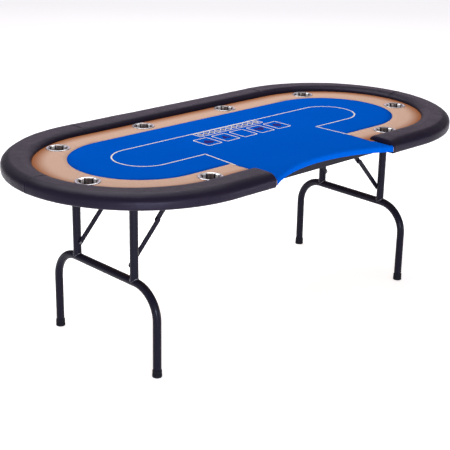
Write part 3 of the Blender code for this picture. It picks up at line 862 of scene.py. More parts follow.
def panel_edge():
    """The cloth's wrapped edge: the dealer's panel's left side, its concave front and its right side."""
    front = concave_front(CUT_RADIUS - CLOTH - GAP, PANEL_HALF, 140)
    side = [(-PANEL_HALF, y) for y in steps(-TAN_TIP[1], front[0][1], 16)][:-1]
    return rounded_corners(side + front + mirrored(side), PANEL_CORNER)


def rounded_corners(line, reach):
    """Softens the corners of a dense line by averaging it over a distance."""
    dense = spaced(line, DENSE_STEP)
    window = max(3, round(reach / DENSE_STEP) | 1)
    half = window // 2
    padded_line = np.concatenate([np.repeat(dense[:1], half, 0), dense, np.repeat(dense[-1:], half, 0)])
    kernel = np.hanning(window + 2)[1:-1]
    kernel /= kernel.sum()
    soft = np.stack([np.convolve(padded_line[:, i], kernel, "valid") for i in range(2)], 1)
    soft[0], soft[-1] = dense[0], dense[-1]
    return spaced(soft, 0.004)


def make_playing_cloth():
    right, left = round_ends(FIELD_RADIUS, 120)
    corner, tip = TAN_CORNER, TAN_TIP
    edge = panel_edge()
    inner = shifted(edge, -WRAP_ROUND, closed=False)
    inner[0] = (-PANEL_HALF + WRAP_ROUND, -tip[1])
    inner[-1] = (PANEL_HALF - WRAP_ROUND, -tip[1])
    seam_left = plan_line((-HALF_STRAIGHT, -FIELD_RADIUS), (-corner[0], -corner[1]))[1:]
    slope_left = plan_line((-corner[0], -corner[1]), (-tip[0], -tip[1]))[1:-1]
    seam = right + left + seam_left + slope_left
    back = mirrored(seam_left[:-1] + slope_left)
    loop = seam + [tuple(p) for p in inner] + back
    build = bmesh.new()
    made = add_flat(build, [loop])
    near = made[len(seam):len(seam) + len(inner)]
    for vert in made[:len(seam)] + made[len(seam) + len(inner):len(loop)]:
        vert.co.z = SURFACE - EDGE_DIP
    for vert in near:
        vert.co.z = SURFACE
    outward_line = edge - inner
    outward_line /= np.linalg.norm(outward_line, axis=1, keepdims=True)
    rows = []
    for a in steps(0, math.pi / 2, 8)[1:]:
        rows.append((WRAP_ROUND * (1 - math.sin(a)), SURFACE - WRAP_ROUND * (1 - math.cos(a))))
    low = HEM_BOTTOM + CLOTH / 2
    rows += [(0.0, z) for z in steps(SURFACE - WRAP_ROUND, low + 0.003, 5)[1:]]
    rows += [(0.0009, low + 0.0009), (0.003, low), (HEM / 2, low), (HEM, low)]
    for back_by, z in rows:
        ring = []
        for (x, y), (u, v) in zip(edge, outward_line):
            pucker = PUCKER * noise.noise(Vector((x * 55, y * 55, z * 18))) * min(1.0, (SURFACE - z) / 0.01)
            away = back_by + abs(pucker)
            ring.append(build.verts.new((x - u * away, y - v * away, z)))
        for i in range(len(ring) - 1):
            build.faces.new((near[i], near[i + 1], ring[i + 1], ring[i]))
        near = ring
    replaced = ("playing_cloth",)
    cloth = piece("playing_cloth_sheet", build, BLUE, "table_top", replaced, sharp=80)
    thicken(cloth, CLOTH)


def thicken(made, thickness):
    solid = made.modifiers.new("thickness", "SOLIDIFY")
    solid.thickness = thickness
    solid.offset = -1.0
    solid.use_even_offset = False


def cup_centres():
    centres = []
    for number in range(1, CUP_COUNT + 1):
        low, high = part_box(f"cup_holder_{number}")
        centres.append(((low.x + high.x) / 2, (low.y + high.y) / 2))
    return centres


def make_racetrack_cloth():
    right, left = round_ends(TAN_RADIUS, 150)
    shoulder = DEALER_HALF_GAP + TAN_SHOULDER
    gap_right, gap_left = round_ends(FIELD_RADIUS + GAP, 120)
    corner, tip = (TAN_CORNER[0] + GAP, FIELD_RADIUS + GAP), (TAN_TIP[0] + GAP, TAN_TIP[1] - GAP)
    outer = right + left + [(-shoulder, -TAN_RADIUS), (-shoulder, -tip[1])]
    flank = plan_line((-tip[0], -tip[1]), (-corner[0], -corner[1]))
    flank += plan_line((-corner[0], -corner[1]), (-HALF_STRAIGHT, -corner[1]))[1:-1]
    seam = flank + gap_left[::-1] + gap_right[::-1] + mirrored(flank)
    loop = outer + seam + [(shoulder, -tip[1]), (shoulder, -TAN_RADIUS)]
    holes = []
    for x, y in cup_centres():
        holes.append([(x + u, y + v) for u, v in circle(CUP_HOLE, 40)])
    build = bmesh.new()
    made = add_flat(build, [loop] + holes)
    for vert in made[len(outer):len(outer) + len(seam)]:
        vert.co.z = SURFACE - EDGE_DIP
    replaced = ("racetrack_cloth",)
    cloth = piece("racetrack_cloth_sheet", build, TAN, "table_top", replaced, sharp=80)
    thicken(cloth, CLOTH)


def board_loop(inset):
    """The board's outline, with the dealer's panel, moved in by a distance."""
    right, left = round_ends(BOARD_RADIUS - inset, 90)
    half = PANEL_HALF - inset
    front = concave_front(CUT_RADIUS + inset, half, 60)
    return right + left + [(-half, -BOARD_RADIUS + inset)] + front + [(half, -BOARD_RADIUS + inset)]


def make_foam_pad():
    """One layer of foam with soft upper edges and the cup holes cut through."""
    build = bmesh.new()
    high, low = PAD_HIGH.z, PAD_LOW.z
    levels = [(0.0006, low), (0.0004, high - 0.0028), (0.0022, high - 0.0010), (0.0052, high)]
    rings = [add_ring(build, board_loop(inset), z, flat_on) for inset, z in levels]
    holes = []
    for x, y in cup_centres():
        ring = [(x + u, y + v) for u, v in circle(CUP_HOLE + GAP, 32)]
        holes.append([add_ring(build, ring, z, flat_on) for z in (low, high)])
    for near, far in list(zip(rings, rings[1:])) + holes:
        add_wall(build, near, far)
    for ring, side in ((rings[0], 0), (rings[-1], 1)):
        loops = [ring] + [hole[side] for hole in holes]
        flat = [vert for loop in loops for vert in loop]
        triangles = fill_plan([[(v.co.x, v.co.y) for v in loop] for loop in loops])[1]
        for a, b, c in triangles:
            build.faces.new((flat[a], flat[b], flat[c]))
    pad = piece("foam_pad_layer", build, FOAM, "table_top", ("foam_pad",))


# Printed markings, thin films of ink on the cloth

INK_LOW = SURFACE - 0.00010
INK_HIGH = SURFACE + 0.00034
LINE_WIDTH = 0.0058
BET_HALF = 0.5238
BET_RADIUS = 0.1235
BET_BREAK_X = 0.3184
BET_END = (0.3306, -0.3046)
CARD_SIZE = (0.073, 0.095)
CARD_STEP = 0.1
CARD_MIDDLE = (0.0105, 0.002)
CARD_CORNER = 0.007
CARD_LINE = 0.0046
PIP = 0.0245
BAND_X = (-0.165, 0.195)
BAND_Y = (0.0700, 0.1180)
BAND_COUNT = 11
BAND_LINE = 0.0040
BAND_CORNER = 0.004
BAND_MARGIN = 0.005  # between the band's ends and the first lozenge
LOZENGE = (0.42, 0.34)  # half width as a share of the pitch, half height as a share of the band
LOZENGE_LINE = 0.8
LOZENGE_CORE = 0.55


def add_ribbon(build, line, width, closed=False):
    """A thin strip of ink along a line."""
    left, right = shifted(line, -width / 2, closed), shifted(line, width / 2, closed)
    rings = []
    for (ax, ay), (bx, by) in zip(left, right):
        rings.append([(ax, ay, INK_LOW), (ax, ay, INK_HIGH), (bx, by, INK_HIGH), (bx, by, INK_LOW)])
    add_skin(build, rings, loop=closed)


def add_patch(build, outline):
    """A thin filled shape of ink."""
    rings = [[(x, y, z) for x, y in outline] for z in (INK_LOW, INK_HIGH)]
    add_skin(build, rings)


def rounded_box(centre, size, corner, count=6):
    half_x, half_y = size[0] / 2 - corner, size[1] / 2 - corner
    line = []
    for sx, sy, first in ((1, 1, 0), (-1, 1, 90), (-1, -1, 180), (1, -1, 270)):
        line += arc((centre[0] + sx * half_x, centre[1] + sy * half_y), corner, first, first + 90, count)
    return line


def make_betting_line():
    half_turn = [polar(-BET_HALF, a, BET_RADIUS) for a in steps(math.pi / 2, 1.5 * math.pi, 48)]
    build = bmesh.new()
    for side in (-1, 1):
        bend = [(-side * x, y) for x, y in half_turn]
        line = [(0.0, BET_RADIUS)] + bend + [(side * BET_BREAK_X, -BET_RADIUS)]
        add_ribbon(build, spaced(line, 0.006), LINE_WIDTH)
        add_ribbon(build, [(side * BET_BREAK_X, -BET_RADIUS), (side * BET_END[0], BET_END[1])], LINE_WIDTH)
    piece("betting_line_print", build, WHITE_PRINT, "table_top")


def heart():
    line = []
    for a in steps(0, 2 * math.pi, 40)[:-1]:
        y = 13 * math.cos(a) - 5 * math.cos(2 * a) - 2 * math.cos(3 * a) - math.cos(4 * a)
        line.append((math.sin(a) ** 3, y / 16 + 0.15))
    return line


def diamond():
    line = []
    for a in steps(0, 2 * math.pi, 32)[:-1]:
        line.append((0.8 * math.copysign(abs(math.cos(a)) ** 1.6, math.cos(a)),
                     math.copysign(abs(math.sin(a)) ** 1.6, math.sin(a))))
    return line


def spade():
    stem = [(-0.09, -0.50), (-0.12, -0.68), (-0.34, -0.98), (0.34, -0.98), (0.12, -0.68), (0.09, -0.50)]
    return stem + [(x, -y) for x, y in heart() if abs(x) > 0.12 or y < 0]


def club():
    line = []
    for a in steps(-math.pi / 2, 1.5 * math.pi, 48)[:-1]:
        radius = 0.62 * (1 + 0.45 * math.cos(3 * (a - math.pi / 2)))
        line.append((radius * math.cos(a), radius * math.sin(a)))
    return line


def make_card_marks():
    cards = bmesh.new()
    pips = bmesh.new()
    shapes = (spade, club, None, heart, diamond)
    for place, shape in zip(steps(-2, 2, 4), shapes):
        centre = (CARD_MIDDLE[0] + place * CARD_STEP, CARD_MIDDLE[1])
        add_ribbon(cards, rounded_box(centre, CARD_SIZE, CARD_CORNER), CARD_LINE, closed=True)
        if shape:
            add_patch(pips, [(centre[0] + x * PIP, centre[1] + y * PIP) for x, y in shape()])
    piece("card_outlines_print", cards, WHITE_PRINT, "table_top")
    piece("card_pips_print", pips, DARK_PRINT, "table_top")


def make_ornament_band():
    """A plain border of lozenges between two lines."""
    lines = bmesh.new()
    fills = bmesh.new()
    middle = (sum(BAND_X) / 2, sum(BAND_Y) / 2)
    size = (BAND_X[1] - BAND_X[0], BAND_Y[1] - BAND_Y[0])
    add_ribbon(lines, rounded_box(middle, size, BAND_CORNER), BAND_LINE, closed=True)
    pitch = (size[0] - 2 * BAND_MARGIN) / BAND_COUNT
    for i in range(BAND_COUNT):
        x = BAND_X[0] + BAND_MARGIN + pitch * (i + 0.5)
        half_x, half_y = pitch * LOZENGE[0], size[1] * LOZENGE[1]
        y = middle[1]
        shape = [(x + half_x, y), (x, y + half_y), (x - half_x, y), (x, y - half_y)]
        outline = spaced(shape + shape[:1], 0.003)[:-1]
        add_ribbon(lines, outline, BAND_LINE * LOZENGE_LINE, closed=True)
        core = [(x + (u - x) * LOZENGE_CORE, y + (v - y) * LOZENGE_CORE) for u, v in shape]
        add_patch(fills, core)
    piece("ornament_lines_print", lines, WHITE_PRINT, "table_top")
    piece("ornament_fills_print", fills, GOLD_PRINT, "table_top")


# Cup holders

CUP_BORE = 0.033
CUP_WALL = 0.001
CUP_FACETS = 72


def cup_section(low, high, flange):
    """From the underside's middle, up the outside, over the rolled flange and down the inside."""
    bore = CUP_BORE
    outer = bore + CUP_WALL
    rest = SURFACE + GAP
    points = [(0, low), (outer - 0.006, low)]
    points += arc((outer - 0.005, low + 0.005), 0.005, -90, 0, 5)[1:]
    points += [(outer, rest)]
    points += [(flange - 0.0012, rest)]
    points += arc((flange - 0.0012, rest + 0.0009), 0.0009, -90, 70, 5)[1:]
    crown = high - 0.0003
    points += [(flange - 0.0024, crown + 0.0003), (flange - 0.0038, crown + 0.0002)]
    points += [(flange - 0.0054, crown - 0.0003)]
    points += [(outer + 0.0014, rest + 0.0009), (bore + 0.0007, rest + 0.0003), (bore, rest - 0.0014)]
    points += [(bore, low + 0.0065)]
    points += arc((bore - 0.0052, low + CUP_WALL + 0.0052), 0.0052, 0, -90, 6)[1:]
    floor = low + CUP_WALL
    points += [(bore * 0.62, floor), (bore * 0.58, floor + 0.0007), (bore * 0.3, floor + 0.0007)]
    points += [(0, floor + 0.0007)]
    return points


def make_cups():
    for number, centre in enumerate(cup_centres(), 1):
        low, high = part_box(f"cup_holder_{number}")
        build = add_lathe(bmesh.new(), cup_section(low.z, high.z, (high.x - low.x) / 2), centre, CUP_FACETS)
        replaced = (f"cup_holder_{number}",)
        piece(f"steel_cup_{number}", build, STAINLESS, "table_top", replaced, sharp=50)


# Leg frames


def middle(node):
    low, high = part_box(node)
    return (Vector(low) + Vector(high)) / 2


HINGE = middle("right_hinge_tube")
TUBE = HINGE.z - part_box("right_hinge_tube")[0].z
HINGE_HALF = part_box("right_hinge_tube")[1].y
CROSS_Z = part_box("right_wishbone")[1].z - TUBE
UPRIGHT_Y = middle("right_rear_upright").y
FOOT = middle("right_rear_foot_cap")
CAP_RADIUS = FOOT.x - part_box("right_rear_foot_cap")[0].x
CAP_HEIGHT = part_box("right_rear_foot_cap")[1].z
PIVOT_A = middle("right_rear_leg_rivet")
PIVOT_B = middle("right_rear_brace_pin")
KNEE = middle("right_rear_knee_rivet")
LOWER_LOW, LOWER_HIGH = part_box("right_rear_lower_brace")
UPPER_LOW, UPPER_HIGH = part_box("right_rear_upper_brace")
EAR_LOW, EAR_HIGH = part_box("right_rear_brace_bracket")
BATTEN_LOW, BATTEN_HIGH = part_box("right_hinge_batten")
STRAP_LOW, STRAP_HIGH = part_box("right_rear_hinge_strap")
BEND = 0.120
BEND_STEPS = 22
TUBE_FACETS = 36
CAP_FLOOR = 0.0053
CAP_RIBS = (0.0086, 0.0122, 0.0158)
PLUG_GROOVE = 0.0010
BEAD = 0.0021  # radius of the weld's bead
BEAD_STEPS = 84
BEAD_OUT = 0.0003  # how far the bead's middle stands off the tubes
BEAD_THIN = 0.3  # share of the bead's radius that is left at its sides
BEAD_LUMPS = 0.30
LINK_STEPS = 16
EASE = 0.0007  # on the edges of the bars
SHEET_EASE = 0.0004
HEAD = 0.006
HEAD_THICK = 0.0022
SHANK = 0.003
PIN_HOLE = 0.0034
PIN_FACETS = 28
SHEET = 0.002
EAR_THICK = 0.003
RUNNING_GAP = 0.0008
SCREW_HEAD = 0.0042
SCREW_THICK = 0.0021
SCREW_FACETS = 32
EAR_SCREWS = (0.22, 0.78)  # along a bracket's flange
EAR_SCREW_IN = 0.011
BATTEN_SCREWS = 0.022  # to each side of the hinge line
BATTEN_SCREW_IN = 0.025
SCREW_TURN = 0.7  # from one screw's recess to the next, in radians


def add_sweep(build, path, radii, facets=TUBE_FACETS):
    """A solid rod along points that share one x, with a radius at each point."""
    across = Vector((1, 0, 0))
    rings = []
    for i, (point, radius) in enumerate(zip(path, radii)):
        ahead = path[min(i + 1, len(path) - 1)] - path[max(i - 1, 0)]
        lift = ahead.normalized().cross(across)
        rings.append([point + across * u + lift * v for u, v in circle(radius, facets)])
    return add_skin(build, rings)


def mirrored_rows(rows):
    """(y, radius) rows of a rod's far end, with the same for its near end before them."""
    return [(-y, radius) for y, radius in reversed(rows)] + rows


def make_hinge_tube(name, side):
    """The top cross tube with a pushed-in plastic plug in each end."""
    lip = TUBE - 0.0014
    end = HINGE_HALF
    rows = [(end * 0.5, TUBE), (end - 0.0006, TUBE), (end, TUBE - 0.0006), (end, lip)]
    rows += [(end - PLUG_GROOVE, lip - 0.0003), (end - PLUG_GROOVE, lip - 0.0008)]
    rows += [(end - 0.0001, lip - 0.0014), (end + 0.0005, lip - 0.004)]
    rows += [(end + 0.0008, lip * 0.4)]
    rows = mirrored_rows(rows)
    path = [Vector((side * HINGE.x, y, HINGE.z)) for y, radius in rows]
    build = add_sweep(bmesh.new(), path, [radius for y, radius in rows])
    piece(f"{name}_top_tube", build, ENAMEL, f"{name}_leg", (f"{name}_hinge_tube",))


def make_wishbone(name, side):
    """Two legs and the cross tube between them, bent from one tube."""
    reach = FOOT.y - BEND
    bend_z = CROSS_Z - BEND
    plan = [(-FOOT.y, CAP_FLOOR), (-FOOT.y, bend_z * 0.5)]
    plan += arc((-reach, bend_z), BEND, 180, 90, BEND_STEPS)
    plan += arc((reach, bend_z), BEND, 90, 0, BEND_STEPS)
    plan += [(FOOT.y, bend_z * 0.5), (FOOT.y, CAP_FLOOR)]
    path = [Vector((side * HINGE.x, y, z)) for y, z in plan]
    build = add_sweep(bmesh.new(), path, [TUBE] * len(path))
    piece(f"{name}_bent_tube", build, ENAMEL, f"{name}_leg", (f"{name}_wishbone",))


def add_weld(build, x, y, z, up):
    """A lumpy bead round an upright on a cross tube; its sides are thin, to pass under the batten."""
    rings = []
    for angle in steps(0, 2 * math.pi, BEAD_STEPS)[:-1]:
        out = Vector((math.cos(angle), math.sin(angle), 0))
        rise = TUBE * abs(out.y)
        lump = noise.noise(Vector((x, y, z)) * 9 + out * 3.1)
        radius = BEAD * (BEAD_THIN + (1 - BEAD_THIN) * abs(out.y)) * (1 + BEAD_LUMPS * lump)
        centre = Vector((x, y, z)) + out * (TUBE + BEAD_OUT) + Vector((0, 0, up * (rise + BEAD_OUT)))
        rings.append([centre + out * u * radius + Vector((0, 0, v * radius)) for u, v in circle(1.0, 8)])
    add_skin(build, rings, loop=True)


def make_uprights(name, side):
    x = side * HINGE.x
    beads = bmesh.new()
    for place, front in (("front", -1), ("rear", 1)):
        y = front * UPRIGHT_Y
        path = [Vector((x, y, z)) for z in steps(CROSS_Z + TUBE * 0.2, HINGE.z - TUBE * 0.2, 8)]
        build = add_sweep(bmesh.new(), path, [TUBE] * len(path))
        piece(f"{name}_{place}_post", build, ENAMEL, f"{name}_leg", (f"{name}_{place}_upright",))
        add_weld(beads, x, y, CROSS_Z, 1)
        add_weld(beads, x, y, HINGE.z, -1)
    piece(f"{name}_weld_beads", beads, WELD, f"{name}_leg", sharp=80)


def cap_section():
    """A pushed-on rubber foot: flared, with three shallow ribs and a rounded sole."""
    rim = TUBE + 0.0016
    points = [(0, 0.0008), (CAP_RADIUS * 0.55, 0.0008), (CAP_RADIUS * 0.62, 0.0), (CAP_RADIUS - 0.0030, 0.0)]
    points += [(CAP_RADIUS - 0.0010, 0.0007), (CAP_RADIUS, 0.0026), (CAP_RADIUS, 0.0062)]
    for z in CAP_RIBS:
        wall = CAP_RADIUS - (CAP_RADIUS - rim) * z / CAP_HEIGHT
        groove = wall - 0.0006
        points += [(wall, z - 0.0009), (groove, z - 0.0005), (groove, z + 0.0005), (wall, z + 0.0009)]
    points += [(rim + 0.0002, CAP_HEIGHT - 0.0028), (rim, CAP_HEIGHT - 0.0008), (rim - 0.0007, CAP_HEIGHT)]
    points += [(TUBE + 0.0003, CAP_HEIGHT - 0.0005), (TUBE + 0.0002, CAP_FLOOR), (0, CAP_FLOOR)]
    return points


def make_feet(name, side):
    for place, front in (("front", -1), ("rear", 1)):
        build = add_lathe(bmesh.new(), cap_section(), (side * HINGE.x, front * FOOT.y), 48)
        replaced = (f"{name}_{place}_foot_cap",)
        piece(f"{name}_{place}_rubber_foot", build, RUBBER, f"{name}_leg", replaced)


# Braces, brackets and straps


def anticlockwise(outline):
    turned = sum(a[0] * b[1] - b[0] * a[1] for a, b in zip(outline, outline[1:] + outline[:1]))
    return outline if turned > 0 else outline[::-1]


def add_plate(build, outline, low, high, place, ease=EASE):
    """A plate between two levels with eased edges; place turns (u, v, level) into a point."""
    loop = anticlockwise(outline)
    small = shifted(loop, -ease)
    rings = []
    for line, level in ((small, low), (loop, low + ease), (loop, high - ease), (small, high)):
        rings.append([place(u, v, level) for u, v in line])
    add_skin(build, rings)


def pin_hole(pivot):
    return [(pivot[0] + u, pivot[1] + v) for u, v in circle(PIN_HOLE, PIN_FACETS)]


def add_drilled_plate(build, outline, holes, low, high, place, ease=EASE):
    """A plate with eased outer edges and holes through it from one level to the other."""
    loop = anticlockwise(outline)
    small = shifted(loop, -ease)
    rows = [add_ring(build, small, low, place), add_ring(build, loop, low + ease, place)]
    rows += [add_ring(build, loop, high - ease, place), add_ring(build, small, high, place)]
    bores = [(add_ring(build, hole, low, place), add_ring(build, hole, high, place)) for hole in holes]
    for below, above in list(zip(rows, rows[1:])) + bores:
        add_wall(build, below, above)
    bottom = rows[0] + [vert for below, above in bores for vert in below]
    top = rows[-1] + [vert for below, above in bores for vert in above]
    flat = [[Vector((u, v, 0.0)) for u, v in line] for line in [small] + holes]
    for triangle in tessellate_polygon(flat):
        build.faces.new([bottom[i] for i in triangle])
        build.faces.new([top[i] for i in triangle])


def add_rivet(build, x, z, front, inner, outer):
    """A rivet along Y with a domed head on its inner side and a plain shank towards the other."""
    rows = [(inner - HEAD_THICK, 0.0010), (inner - HEAD_THICK * 0.93, HEAD * 0.42)]
    rows += [(inner - HEAD_THICK * 0.66, HEAD * 0.78), (inner - HEAD_THICK * 0.25, HEAD * 0.97)]
    rows += [(inner, HEAD), (inner, SHANK), (outer, SHANK)]
    path = [Vector((x, front * along, z)) for along, radius in rows]
    add_sweep(build, path, [radius for along, radius in rows], 28)


def link_outline(start, end, width):
    """A bar with round ends between two pivots in the XZ plane."""
    heading = math.degrees(math.atan2(end[1] - start[1], end[0] - start[0]))
    near = arc(start, width / 2, heading + 90, heading + 270, LINK_STEPS)
    far = arc(end, width / 2, heading - 90, heading + 90, LINK_STEPS)
    return near + far


def add_screw(build, x, y, z, turn):
    """A pan head screw seen from below, with a cross recess turned by an angle."""
    rings = []
    slot = [min(0.0024, 0.00055 / max(min(abs(u), abs(v)), 1e-6)) for u, v in circle(1.0, SCREW_FACETS)]
    wide = [1.0] * SCREW_FACETS
    rows = [(wide, SCREW_HEAD, 0.0), (wide, SCREW_HEAD, 0.0005), (wide, SCREW_HEAD * 0.9, 0.0014)]
    rows += [(wide, SCREW_HEAD * 0.68, SCREW_THICK), (slot, 1.0, SCREW_THICK), (slot, 0.9, 0.0009)]
    for shape, radius, depth in rows:
        ring = []
        for i, size in enumerate(shape):
            angle = 2 * math.pi * i / SCREW_FACETS + turn
            ring.append((x + size * radius * math.cos(angle), y + size * radius * math.sin(angle), z - depth))
        rings.append(ring)
    add_skin(build, rings)


def bracket_outline(front):
    """An L of sheet in the YZ plane, bent with a small radius: a flange under the board and an ear."""
    top, low = EAR_HIGH.z, EAR_LOW.z
    flange, outer = EAR_LOW.y, EAR_HIGH.y
    inner = outer - EAR_THICK
    points = [(flange, top), (flange, top - SHEET), (inner - 0.0015, top - SHEET)]
    points += arc((inner - 0.0015, top - SHEET - 0.0015), 0.0015, 90, 0, 4)[1:]
    points += [(inner, low), (outer, low)]
    points += arc((outer - 0.0040, top - 0.0040), 0.0040, 0, 90, 6)
    return [(front * y, z) for y, z in points]


def make_braces(name, side):
    a, b, knee = ((side * p.x, p.z) for p in (PIVOT_A, PIVOT_B, KNEE))
    lower_outline = link_outline(a, knee, 2 * (PIVOT_A.z - LOWER_LOW.z))
    upper_outline = link_outline(b, knee, 2 * (UPPER_HIGH.z - PIVOT_B.z))
    for place, front in (("front", -1), ("rear", 1)):
        tag = f"{name}_{place}"
        lower, upper, bracket = bmesh.new(), bmesh.new(), bmesh.new()
        leg_pin, knee_pin, ear_pin = bmesh.new(), bmesh.new(), bmesh.new()
        lower_span = sorted((front * LOWER_LOW.y, front * LOWER_HIGH.y))
        upper_span = sorted((front * UPPER_LOW.y, front * UPPER_HIGH.y))
        add_drilled_plate(lower, lower_outline, [pin_hole(a)], *lower_span, along_y)
        add_drilled_plate(upper, upper_outline, [pin_hole(b), pin_hole(knee)], *upper_span, along_y)
        ear_x = sorted((side * EAR_LOW.x, side * EAR_HIGH.x))
        add_plate(bracket, bracket_outline(front), *ear_x, along_x, SHEET_EASE)
        add_rivet(leg_pin, *a, front, LOWER_LOW.y - GAP, LOWER_HIGH.y)
        add_rivet(knee_pin, *knee, front, UPPER_LOW.y - GAP, UPPER_HIGH.y)
        add_rivet(ear_pin, *b, front, EAR_HIGH.y - EAR_THICK - GAP, UPPER_HIGH.y)
        piece(f"{tag}_lower_bar", lower, ENAMEL, f"{tag}_lower_link", (f"{tag}_lower_brace",))
        piece(f"{tag}_upper_bar", upper, ENAMEL, f"{tag}_upper_link", (f"{tag}_upper_brace",))
        piece(f"{tag}_board_bracket", bracket, ENAMEL, "table_top", (f"{tag}_brace_bracket",))
        piece(f"{tag}_post_rivet", leg_pin, ZINC, f"{name}_leg", (f"{tag}_leg_rivet",))
        piece(f"{tag}_middle_rivet", knee_pin, ZINC, f"{tag}_upper_link", (f"{tag}_knee_rivet",))
        piece(f"{tag}_bracket_rivet", ear_pin, ZINC, "table_top", (f"{tag}_brace_pin",))


def strap_outline(x):
    """A sheet saddle under the cross tube, with a flat flange on each side."""
    bore = TUBE + RUNNING_GAP
    out = bore + SHEET
    left, right = x - (STRAP_HIGH.x - HINGE.x), x + (STRAP_HIGH.x - HINGE.x)
    top = STRAP_HIGH.z
    points = [(left, top), (left, top - SHEET), (x - out, top - SHEET)]
    points += arc((x, HINGE.z), out, 180, 360, 28)
    points += [(x + out, top - SHEET), (right, top - SHEET), (right, top), (x + bore, top)]
    points += arc((x, HINGE.z), bore, 360, 180, 28)
    return points + [(x - bore, top)]


def make_straps(name, side):
    x = side * HINGE.x
    flange_x = (STRAP_HIGH.x - HINGE.x + TUBE + RUNNING_GAP + SHEET) / 2
    for place, front in (("front", -1), ("rear", 1)):
        build = bmesh.new()
        span = sorted((front * STRAP_LOW.y, front * STRAP_HIGH.y))
        add_plate(build, strap_outline(x), *span, along_y, SHEET_EASE)
        replaced = (f"{name}_{place}_hinge_strap",)
        piece(f"{name}_{place}_saddle", build, ENAMEL, "table_top", replaced)
    screws = bmesh.new()
    spots = []
    strap_y = middle("right_rear_hinge_strap").y
    for y in (-strap_y, strap_y):
        for offset in (-flange_x, flange_x):
            spots.append((x + offset, y, STRAP_HIGH.z - SHEET))
    for front in (-1, 1):
        for share in EAR_SCREWS:
            spot_x = EAR_LOW.x + (EAR_HIGH.x - EAR_LOW.x) * share
            spots.append((side * spot_x, front * (EAR_LOW.y + EAR_SCREW_IN), EAR_HIGH.z - SHEET))
        for offset in (-BATTEN_SCREWS, BATTEN_SCREWS):
            spots.append((x + offset, front * (BATTEN_HIGH.y - BATTEN_SCREW_IN), BATTEN_LOW.z))
    for number, spot in enumerate(spots):
        add_screw(screws, *spot, number * SCREW_TURN)
    piece(f"{name}_fixing_screws", screws, BLACK_SCREW, "table_top", sharp=40)


# Wood under the top, with its staples

STAPLE_HALF = 0.005
STAPLE_WIRE = 0.00045
STAPLE_BEND = 0.0004
STAPLE_SUNK = 0.0003  # how far the legs go into the cloth
STAPLE_INSET = 0.007  # from the vinyl's edge under the rail
STAPLE_STEP = 0.042
WOOD_EASE = 0.0015


def make_board_parts():
    """Eased wooden bars, and the finishes of the board and the rail's base."""
    for name in ("front_apron", "rear_apron", "left_hinge_batten", "right_hinge_batten"):
        low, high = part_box(name)
        corners = [(low.x, low.y), (high.x, low.y), (high.x, high.y), (low.x, high.y)]
        build = bmesh.new()
        add_plate(build, corners, low.z, high.z, flat_on, WOOD_EASE)
        wood, slot = (BLACK_WOOD, "black_wood") if "apron" in name else (PLYWOOD, "plywood")
        piece(f"{name}_bar", build, wood, "table_top", (name,))
    for name in ("playing_board", "rail_base"):
        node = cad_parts[name]
        node.data.materials.clear()
        node.data.materials.append(PLYWOOD)


def add_staple(build, centre, ahead, down):
    """The crown of a staple, flat against the cloth, with its legs bent in."""
    across = ahead.cross(down)
    crown = STAPLE_HALF - STAPLE_BEND
    rows = [(-STAPLE_HALF, -STAPLE_SUNK), (-crown, STAPLE_WIRE), (crown, STAPLE_WIRE)]
    rows.append((STAPLE_HALF, -STAPLE_SUNK))
    rings = []
    for along, depth in rows:
        point = centre + ahead * along + down * depth
        wire = circle(1.0, 8)
        rings.append([point + across * u * STAPLE_WIRE * 1.4 + down * v * STAPLE_WIRE for u, v in wire])
    add_skin(build, rings)


def make_staples():
    """Staples through the vinyl's wrap under the rail and through the cloth's hem at the dealer's edge."""
    build = bmesh.new()
    down = Vector((0, 0, -1))
    for along in steps(0.03, RAIL_LENGTH - 0.03, int(RAIL_LENGTH / STAPLE_STEP)):
        here, next_point = (rail_point(spot, UNDER_WRAP + STAPLE_INSET) for spot in (along, along + 0.001))
        ahead = Vector((*(np.array(next_point) - here), 0)).normalized()
        add_staple(build, Vector((*here, RAIL_BOTTOM)), ahead, down)
    edge = panel_edge()
    hem = shifted(edge, -HEM * 0.55, closed=False)
    hem_step = max(1, int(STAPLE_STEP / np.linalg.norm(np.diff(hem, axis=0), axis=1).mean()))
    for i in range(hem_step, len(hem) - hem_step, hem_step):
        ahead = Vector((*(hem[i + 1] - hem[i]), 0)).normalized()
        add_staple(build, Vector((*hem[i], HEM_BOTTOM)), ahead, down)
    piece("cloth_staples", build, ZINC, "table_top")


make_rail()
make_playing_cloth()
make_racetrack_cloth()
make_foam_pad()
make_betting_line()
make_card_marks()
make_ornament_band()
make_cups()
make_board_parts()
make_staples()
for name, side in (("left", -1), ("right", 1)):
    make_hinge_tube(name, side)
    make_wishbone(name, side)
    make_uprights(name, side)
    make_feet(name, side)
    make_braces(name, side)
    make_straps(name, side)


# Stage

